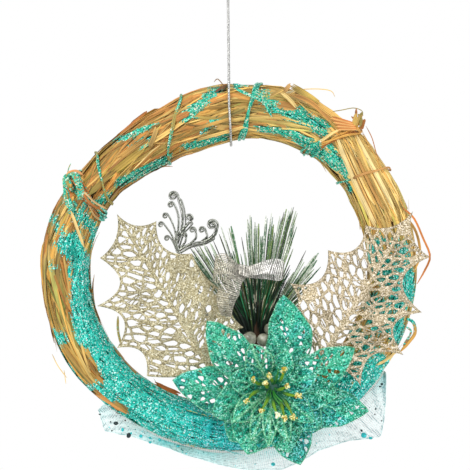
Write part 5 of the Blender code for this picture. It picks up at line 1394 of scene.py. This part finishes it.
# ---------------------------------------------------------------- scroll pick
def chrome(name, bright, dark):
    """Bright plating: bands of shade run with the turn of the surface, as a room mirrored in it would."""
    m = Mat(name, 0.16, 1.0, 0.5, bright)
    facing = m.node("ShaderNodeNewGeometry", out=1)
    lean = m.node("ShaderNodeVectorMath", out=1, props={"operation": "DOT_PRODUCT"}, i0=facing, i1=(0.55, -0.35, 0.76))
    ripple = m.noise(m.place(), 700.0, 2.0)
    band = m.math("MULTIPLY_ADD", lean, 0.5, 0.5)
    band = m.math("ADD", band, m.math("MULTIPLY", m.math("SUBTRACT", ripple, 0.5), 0.55))
    m.set("Base Color", m.ramp(band, [(0.06, dark), (0.23, lin(104, 106, 100)), (0.34, bright), (0.50, lin(252, 252, 250)), (0.58, lin(124, 126, 120)), (0.66, dark), (0.76, lin(140, 144, 134)), (0.92, bright)]))
    return m.m


CHROME = chrome("silver_plated_plastic", lin(206, 208, 202), lin(34, 40, 32))
PICK_Y = -0.0060


def curl(pile, points, hook, r0, r1, y0, turn):
    """A stalk through layout points that rolls up at its end like a fern, with a bead in the middle."""
    p = np.asarray(points, float)
    d = unit(p[-1] - p[-2])
    side = np.array([-d[1], d[0]]) * turn
    c = p[-1] + side * hook
    a = np.linspace(0, 1, 22)[1:]
    rr = hook * (1 - 0.72 * a)
    ang = a * 2.45 * math.pi
    head = c - side * (rr * np.cos(ang))[:, None] + d * (rr * np.sin(ang))[:, None]
    body = curve(p, 26)
    flat = np.concatenate([body, head])
    n = len(flat)
    s = np.linspace(0, 1, n)
    path = at(flat[:, 0], flat[:, 1], y0 - 0.0016 * np.maximum(0, 2 * s - 1))
    rad = 0.92 * np.where(s < 0.6, r0 + (r1 * 1.25 - r0) * s / 0.6, r1 * 1.25 + (r1 * 0.7 - r1 * 1.25) * (s - 0.6) / 0.4)
    pile.add(*tube(path, rad, 8, flat=0.8))
    pile.add(*ball(at(head[-1][0], head[-1][1], y0 - 0.0018), hook * GRID * 0.36, 7, 10))


pile = Pile()
stem = at(np.array([243.0, 237.0, 214.0, 190.0, 177.0, 176.5]), np.array([406.0, 378.0, 330.0, 278.0, 246.0, 231.0]), np.array([-0.0066, -0.0068, -0.0066, -0.0064, PICK_Y, PICK_Y]))
pile.add(*tube(curve(stem, 60), np.linspace(0.0011, 0.0010, 60), 9))
curl(pile, [(176.5, 246), (181, 232), (182.4, 218), (181.0, 207), (177.4, 195)], 4.4, 0.0009, 0.00100, PICK_Y, -1)
curl(pile, [(178.5, 249), (185.0, 228), (185.2, 216), (183.6, 206), (181.4, 200)], 1.6, 0.0007, 0.00045, PICK_Y + 0.0006, -1)
curl(pile, [(177.8, 234), (178.6, 219), (176.8, 210), (173.8, 203.6)], 3.2, 0.0008, 0.00070, PICK_Y - 0.0002, -1)
curl(pile, [(177, 242), (174.5, 229), (171.5, 221), (168.0, 214.6)], 3.0, 0.0007, 0.00060, PICK_Y + 0.0002, -1)
curl(pile, [(176.4, 246), (172, 235.5), (167, 228), (163.2, 223)], 2.9, 0.0007, 0.00058, PICK_Y - 0.0001, -1)
curl(pile, [(177, 252), (174.6, 245), (172, 240), (169.2, 236.6)], 2.8, 0.0007, 0.00056, PICK_Y + 0.0003, -1)
curl(pile, [(176.6, 236), (184, 228.5), (191.5, 220)], 3.6, 0.0009, 0.00085, PICK_Y + 0.0002, -1)
curl(pile, [(178.0, 238), (185.5, 231.5), (192.2, 224.5)], 1.8, 0.0006, 0.00045, PICK_Y + 0.0008, -1)
curl(pile, [(176.4, 252), (190, 244.5), (204, 241.8), (213.8, 235.5), (216.8, 226.5)], 5.0, 0.0010, 0.00125, PICK_Y - 0.0002, -1)
curl(pile, [(177.4, 255), (191, 247.2), (204, 244.4), (213.5, 239.6)], 1.8, 0.0007, 0.00050, PICK_Y + 0.0006, -1)
curl(pile, [(180, 249), (185, 242), (186.4, 235.5)], 2.8, 0.0008, 0.00062, PICK_Y + 0.0001, -1)
curl(pile, [(190, 244), (195.8, 238), (195.6, 230)], 3.1, 0.0008, 0.00068, PICK_Y - 0.0003, -1)
curl(pile, [(201, 242), (207, 236.5), (205, 229.2)], 3.2, 0.0008, 0.00072, PICK_Y + 0.0002, -1)
ob = pile.build("silver_scroll_pick_fine", CHROME, "silver_plated_plastic")
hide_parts("silver_scroll_pick")

# ---------------------------------------------------------------- pearls
m = Mat("pearl_grey", 0.22, 0.0, 0.6, lin(190, 186, 172))
where = m.place()
m.set("Base Color", m.ramp(m.noise(where, 160.0, 3.0), [(0.34, lin(96, 98, 82)), (0.5, lin(146, 146, 128)), (0.66, lin(190, 190, 174))]))
m.set("Coat Weight", 0.5)
m.set("Normal", m.bump(m.noise(where, 2400.0), 0.12, 0.0002))
pile = Pile()
root, fork = at(262, 402, -0.0142), at(262, 372, -0.0160)
pile.add(*tube(curve([root, (root + fork) / 2, fork], 14), 0.0008, 8))
for u, v, y, r in ((249.5, 338.5, -0.0195, 0.0045), (263.5, 340, -0.0193, 0.0043), (270, 329, -0.0185, 0.0038)):
    c = at(u, v, y)
    pile.add(*ball(c, r, 16, 24))
    pile.add(*tube(curve([fork, (fork + c) / 2 + [0, 0.0012, 0], c], 12), 0.0005, 6))
ob = pile.build("pearls", m.m, "pearl_grey")
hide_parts("pearl_spray")


# ---------------------------------------------------------------- woven strips: the ribbon bow and the net
def weave(pile, G, rows, cols, width, thick, tint, every=1, across=None):
    """Strands of a woven net over a grid of surface points G (along, across, 3). rows and cols are the indices of the strands."""
    N = unit(np.cross(np.gradient(G, axis=0), np.gradient(G, axis=1)))
    for idx, axis in ((rows, 0), (cols, 1)):
        A, NA = (G[idx], N[idx]) if axis == 0 else (G[:, idx].transpose(1, 0, 2), N[:, idx].transpose(1, 0, 2))
        take = np.unique(np.concatenate([np.arange(0, A.shape[1], every), [A.shape[1] - 1]]))
        A, NA = A[:, take], NA[:, take]
        T = unit(np.gradient(A, axis=1))
        NA = unit(NA - T * (NA * T).sum(-1, keepdims=True))
        A = A + NA * (thick * 0.3 * (1 if axis else -1))
        shape = A.shape[:2]
        # across gives the cross strands' width, and a painted shade factor for their colour
        wide, cross_shade = across if across and axis else (width, 1.0)
        V, F = sweep(A, NA, np.cross(T, NA), np.full(shape, wide / 2), np.full(shape, thick / 2), [(1, 0), (0, 1), (-1, 0), (0, -1)])
        col = tint(A.reshape(-1, 3)).reshape(-1, 3) * cross_shade
        pile.add(V, F, tint=np.repeat(col, 4, axis=0))


def strip_area(G):
    a = np.linalg.norm(np.cross(G[1:, :-1] - G[:-1, :-1], G[:-1, 1:] - G[:-1, :-1]), axis=-1)
    return float(a.sum())


m = Mat("silver_ribbon", 0.35, 0.55, 0.5, lin(190, 186, 174))
where = m.place()
flick = m.node("ShaderNodeSeparateColor", out=0, i0=m.cells(where, 1700.0))
# painted light: each fleck of the ribbon is scaled from 0.42 to 1.7 of its colour, the brightest being painted glints
# of the metal thread
m.set("Base Color", m.mix(1.0, m.attr("tint"), m.ramp(flick, [(0.0, 0.42), (0.35, 0.85), (0.7, 1.1), (0.95, 1.7)]), "MULTIPLY"))
RIBBON = m.m
KNOT = np.array([242.5, 272.0, -0.0262])
rng = np.random.default_rng(91)
warm, cool = np.array(lin(206, 200, 180)), np.array(lin(226, 224, 220))
shade_ = lambda P: (warm + (cool - warm) * np.clip((P[:, 0:1] + 0.004) / 0.030, 0, 1)) * (1.12 + 0.16 * np.sin(P[:, 2:3] * 1100 + P[:, 0:1] * 700))
pile = Pile()
total, WIDE = 0.0, 0.0128


def ribbon(pile, mids, halves, fold_, n=90, m_=13):
    """A strip of ribbon: mids are (u, v, y) along it, halves the (du, dv, dy) from its middle to its edge at each."""
    mid_, half_ = curve(mids, n), curve(halves, n)
    f = np.linspace(-1, 1, m_)
    p = mid_[:, None, :] + half_[:, None, :] * f[None, :, None]
    y = p[..., 2] + fold_ * np.sin(f * 3.0 + np.linspace(0, 7, n)[:, None]) * 0.5
    G = at(p[..., 0], p[..., 1], y)
    long = np.linalg.norm(np.diff(G[:, m_ // 2], axis=0), axis=1).sum()
    rows = np.unique(np.linspace(0, n - 1, int(long / 0.00128)).round().astype(int))
    # the cross strands are real strands of the weave, painted at 0.40 of the ribbon's colour as painted shade in the
    # gaps
    weave(pile, G, rows[::1], np.arange(0, m_, 1), 0.00056, 0.00022, shade_, 1, across=(0.00042, 0.40))
    return strip_area(G)


total += ribbon(pile, [(243, 271.5, -.0280), (255, 269.5, -.0298), (268, 266.5, -.0300), (280, 267.5, -.0280), (283.5, 271, -.0262), (279, 272.5, -.0250), (266, 272, -.0238), (254, 272.5, -.0242), (244, 273, -.0255)],
                [(0, 4, 0), (-1.5, 6, 0), (-2.5, 7.5, 0), (-1.5, 7.5, 0), (0.5, 8, 0), (0, 7, 0), (0.5, 6.5, 0), (0, 5, 0), (0, 4, 0)], 0.0009)
total += ribbon(pile, [(242, 271, -.0280), (233, 268, -.0298), (223, 264, -.0300), (216, 266, -.0280), (214, 269, -.0262), (217, 271, -.0246), (228, 271, -.0238), (242, 273, -.0252)],
                [(0, 4, 0), (-2, 8, 0), (-3, 11, 0), (-1, 12, 0), (0, 12, 0), (0, 11, 0), (0, 7, 0), (0, 4, 0)], 0.0010)
total += ribbon(pile, [(242, 273, -.0278), (234, 281, -.0294), (228, 294, -.0286), (225.5, 304, -.0274), (226, 316, -.0258)], [(4, 3, 0), (9.5, 4, .0004), (9.5, 2, .0006), (8.5, 1, .0004), (5, 1, .0002)], 0.0013, 80, 15)
total += ribbon(pile, [(236, 268.5, -.0272), (242, 270, -.0302), (249, 272.5, -.0274), (242, 274, -.0235), (236, 268.5, -.0262)], [(-1, 4.5, 0), (0.5, 5.5, 0), (-1, 4.5, 0), (0, 4, 0), (-1, 4.5, 0)], 0.0003, 40, 9)
bow_ob = pile.build("ribbon_bow_woven", RIBBON, "silver_ribbon", colors=("tint",), smooth=False)
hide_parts("ribbon_bow")
wire = Pile()
c = np.array([[242.5, 272, -0.0262], [243, 278, -0.0190], [249, 292, -0.0120], [255, 306, -0.0085]])
wire.add(*tube(curve(at(c[:, 0], c[:, 1], c[:, 2]), 16), 0.0005, 6))
wire_ob = wire.build("ribbon_bow_wire", CORD_MAT, "silver_ribbon")

m = Mat("white_net", 0.6, 0.0, 0.3, lin(224, 242, 242))
where = m.place()
flick = m.node("ShaderNodeSeparateColor", out=0, i0=m.cells(where, 1400.0))
m.set("Base Color", m.mix(1.0, m.attr("tint"), m.ramp(flick, [(0.0, 0.80), (0.5, 1.0), (1.0, 1.10)]), "MULTIPLY"))
NET = m.m
NET_FROM, NET_TO = 228.0, 326.0


def hem(t):
    return np.minimum(7.0 + 58.0 * np.maximum(0.0, t - 0.25), 4.0 + 270.0 * (1.0 - t)) + np.interp(t, [0, 0.006, 0.053, 0.117, 0.156, 0.216, 0.28, 0.34], [4.6, 5.8, 16.9, 8.4, 6.1, 3.6, 1.2, 0.0]) - np.interp(t, [0.58, 0.65, 0.694, 0.783, 0.813, 0.85], [0, 8.0, 13.0, 11.5, 7.0, 0])


def net_surface(t, s):
    """The net's surface: t runs along the ring, s from behind the straw down to the hem."""
    c = at(RING_U, RING_V, 0.0)
    deg = NET_FROM + (NET_TO - NET_FROM) * t
    th = np.radians(deg)
    wave = 0.0011 * np.sin(t * 34.0 + s * 1.5)
    edge = ring_point(deg, 0.0, 0.0)[0]
    r_edge = np.hypot(edge[..., 0] - c[0], edge[..., 2] - c[2])
    phi = np.radians(-82 + 62 * np.minimum(s, 0.5) / 0.5)
    hug = ring_point(deg, phi, 0.0026 + wave * 0.6)[0]
    r0 = np.hypot(hug[..., 0] - c[0], hug[..., 2] - c[2])
    q = np.clip((s - 0.5) / 0.5, 0, 1)
    r = r0 + (r_edge - r0 + hem(t) * GRID) * q
    y = hug[..., 1] + 0.0015 * q + wave * q * 2.2 + 0.0010 * q * np.sin(t * 61)
    free = np.stack([c[0] + r * np.cos(th), y, c[2] + r * np.sin(th)], -1)
    return np.where((s > 0.5)[..., None], free, hug)


nt, ns = 330, 49
t_, s_ = np.meshgrid(np.linspace(0, 1, nt), np.linspace(0, 1, ns), indexing="ij")
G = net_surface(t_, s_)
rng = np.random.default_rng(55)


def net_tint(P):
    u, v = layout(P)
    near_ring = np.exp(-(np.maximum(0, np.hypot(u - 228, v - 266) - 184) / 11.0) ** 2)
    spot = np.clip(np.sin(u / 17.0 + 1) * np.sin(v / 6.0 + u / 25.0), 0, 1) ** 2
    k = np.clip(0.52 * near_ring * np.clip((u - 70) / 110, 0.25, 1) + 0.45 * spot * (u > 140) * (u < 300), 0, 1)[:, None]
    out = np.array(lin(232, 250, 250)) * (1 - k) + np.array(lin(84, 210, 208)) * k
    # the mesh shows as a fine dotted grid, clearest at both ends
    dotted = ((np.sin(u * 2.6 + 0.2 * v) * np.sin(v * 2.6) > 0.30) * np.where((u > 335) | (u < 125), 0.75, 0.35))[:, None]
    return out * (1 - dotted) + np.array(lin(64, 146, 152)) * dotted


pile = Pile()
weave(pile, G, np.arange(0, nt, 2), np.arange(0, ns, 1), 0.00030, 0.00020, net_tint, 2)
# a turned hem along the lower edge
V, F = tube(G[::2, -1], 0.00035, 5)
pile.add(V, F, tint=net_tint(V))
net_ob = pile.build("net_drape_woven", NET, "white_net", colors=("tint",), smooth=False)
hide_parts("net_drape")

# dots of dark and teal glitter stuck to the net
m = Mat("net_glitter", 0.3, 0.2, 0.5, lin(40, 180, 180))
where = m.place()
flick = m.node("ShaderNodeSeparateColor", out=0, i0=m.cells(where, 1500.0))
m.set("Base Color", m.mix(1.0, m.attr("tint"), m.ramp(flick, [(0.0, 0.6), (0.6, 1.0), (0.95, 1.6)]), "MULTIPLY"))
dots = Pile()
flat_uv = np.stack(layout(G), -1).reshape(-1, 2)
flat_P = G.reshape(-1, 3)
flat_N = unit(np.cross(np.gradient(G, axis=0), np.gradient(G, axis=1))).reshape(-1, 3)
flat_N[flat_N[:, 1] > 0] *= -1


def dot(u, v, r, color, tall=0.35):
    """A flattened blob on the front of the net at (u, v)."""
    k = int(np.argmin((flat_uv[:, 0] - u) ** 2 + (flat_uv[:, 1] - v) ** 2))
    if (flat_uv[k, 0] - u) ** 2 + (flat_uv[k, 1] - v) ** 2 > 9:
        return
    P = flat_P[k] + flat_N[k] * 0.0001
    rows_, cols_ = 5, 9
    a = np.linspace(0, 2 * math.pi, cols_, endpoint=False)
    stretch_ = rng.uniform(0.8, 1.25)
    N = flat_N[k]
    U = unit(np.cross(N, [0, 0, 1.0]))
    W = np.cross(N, U)
    V = [P + N * r * tall]
    for i in range(1, rows_):
        b = math.pi * i / rows_
        V += [P + (U * (math.cos(x) * stretch_) + W * (math.sin(x) / stretch_)) * r * math.sin(b) + N * (r * tall * math.cos(b)) for x in a]
    V.append(P - N * r * tall)
    V = np.array(V)
    _, F = ball((0, 0, 0), 1, rows_, cols_)
    dots.add(V, F, tint=np.tile(color, (len(V), 1)))


BLACK, DOT_TEAL = lin(16, 40, 44), lin(40, 186, 190)
for u, v, r in ((98, 415, 1.2), (116, 423, 2.3), (128, 436, 2.8), (111, 422, 0.9), (125.5, 420.5, 0.9), (112, 431, 0.9), (382, 384, 1.4), (380, 387, 1.2), (375, 409, 1.0), (375, 414, 0.8), (381, 421, 0.8), (362, 431, 1.2)):
    dot(u, v, r * GRID, BLACK)
for u, v, r in ((123, 430, 1.8), (141, 436, 2.0), (160, 440, 1.8), (178, 446, 1.6), (273, 464, 2.2), (364, 436, 3.0), (371, 439, 1.8), (378, 440, 1.8), (131, 433, 1.2), (150, 438, 1.4), (150, 444, 1.6)):
    dot(u, v, r * GRID, DOT_TEAL)
for k in range(420):
    j = rng.integers(0, len(flat_P))
    u, v = flat_uv[j]
    out_ = math.hypot(u - 228, v - 266)
    if out_ < 181 or rng.random() > math.exp(-(out_ - 181) / 14.0) + 0.12:
        continue
    dot(u, v, rng.uniform(0.3, 0.75) * GRID, lin(*(np.array([60, 196, 200]) * rng.uniform(0.6, 1.1))))
dots_ob = dots.build("net_drape_glitter", m.m, "white_net", colors=("tint",))

# ---------------------------------------------------------------- floor, light, world
floor = bpy.data.objects.new("floor", bpy.data.meshes.new("floor"))
floor.data.from_pydata([(-1.5, -1.5, -0.75), (1.5, -1.5, -0.75), (1.5, 1.5, -0.75), (-1.5, 1.5, -0.75)], [], [(0, 1, 2, 3)])
floor_mat = Mat("floor_pale", 0.8, 0.0, 0.3, (0.82, 0.82, 0.82))
floor.data.materials.append(floor_mat.m)
bpy.context.scene.collection.objects.link(floor)
for name, energy, size, place, color in (("key", 9.0, 0.7, (-0.75, -1.15, 0.55), (1.0, 0.98, 0.95)), ("fill", 3.2, 1.0, (1.0, -1.1, -0.05), (0.97, 0.98, 1.0))):
    light = bpy.data.lights.new(name, "AREA")
    light.energy, light.size, light.color = energy, size, color
    ob = bpy.data.objects.new(name, light)
    ob.location = place
    ob.rotation_euler = (Vector((0.0, 0.0, -0.19)) - Vector(place)).to_track_quat("-Z", "Y").to_euler()
    bpy.context.scene.collection.objects.link(ob)
world = bpy.data.worlds.new("world")
world.use_nodes = True
world.node_tree.nodes["Background"].inputs[0].default_value = (1.0, 1.0, 1.0, 1)
world.node_tree.nodes["Background"].inputs[1].default_value = 1.0
bpy.context.scene.world = world
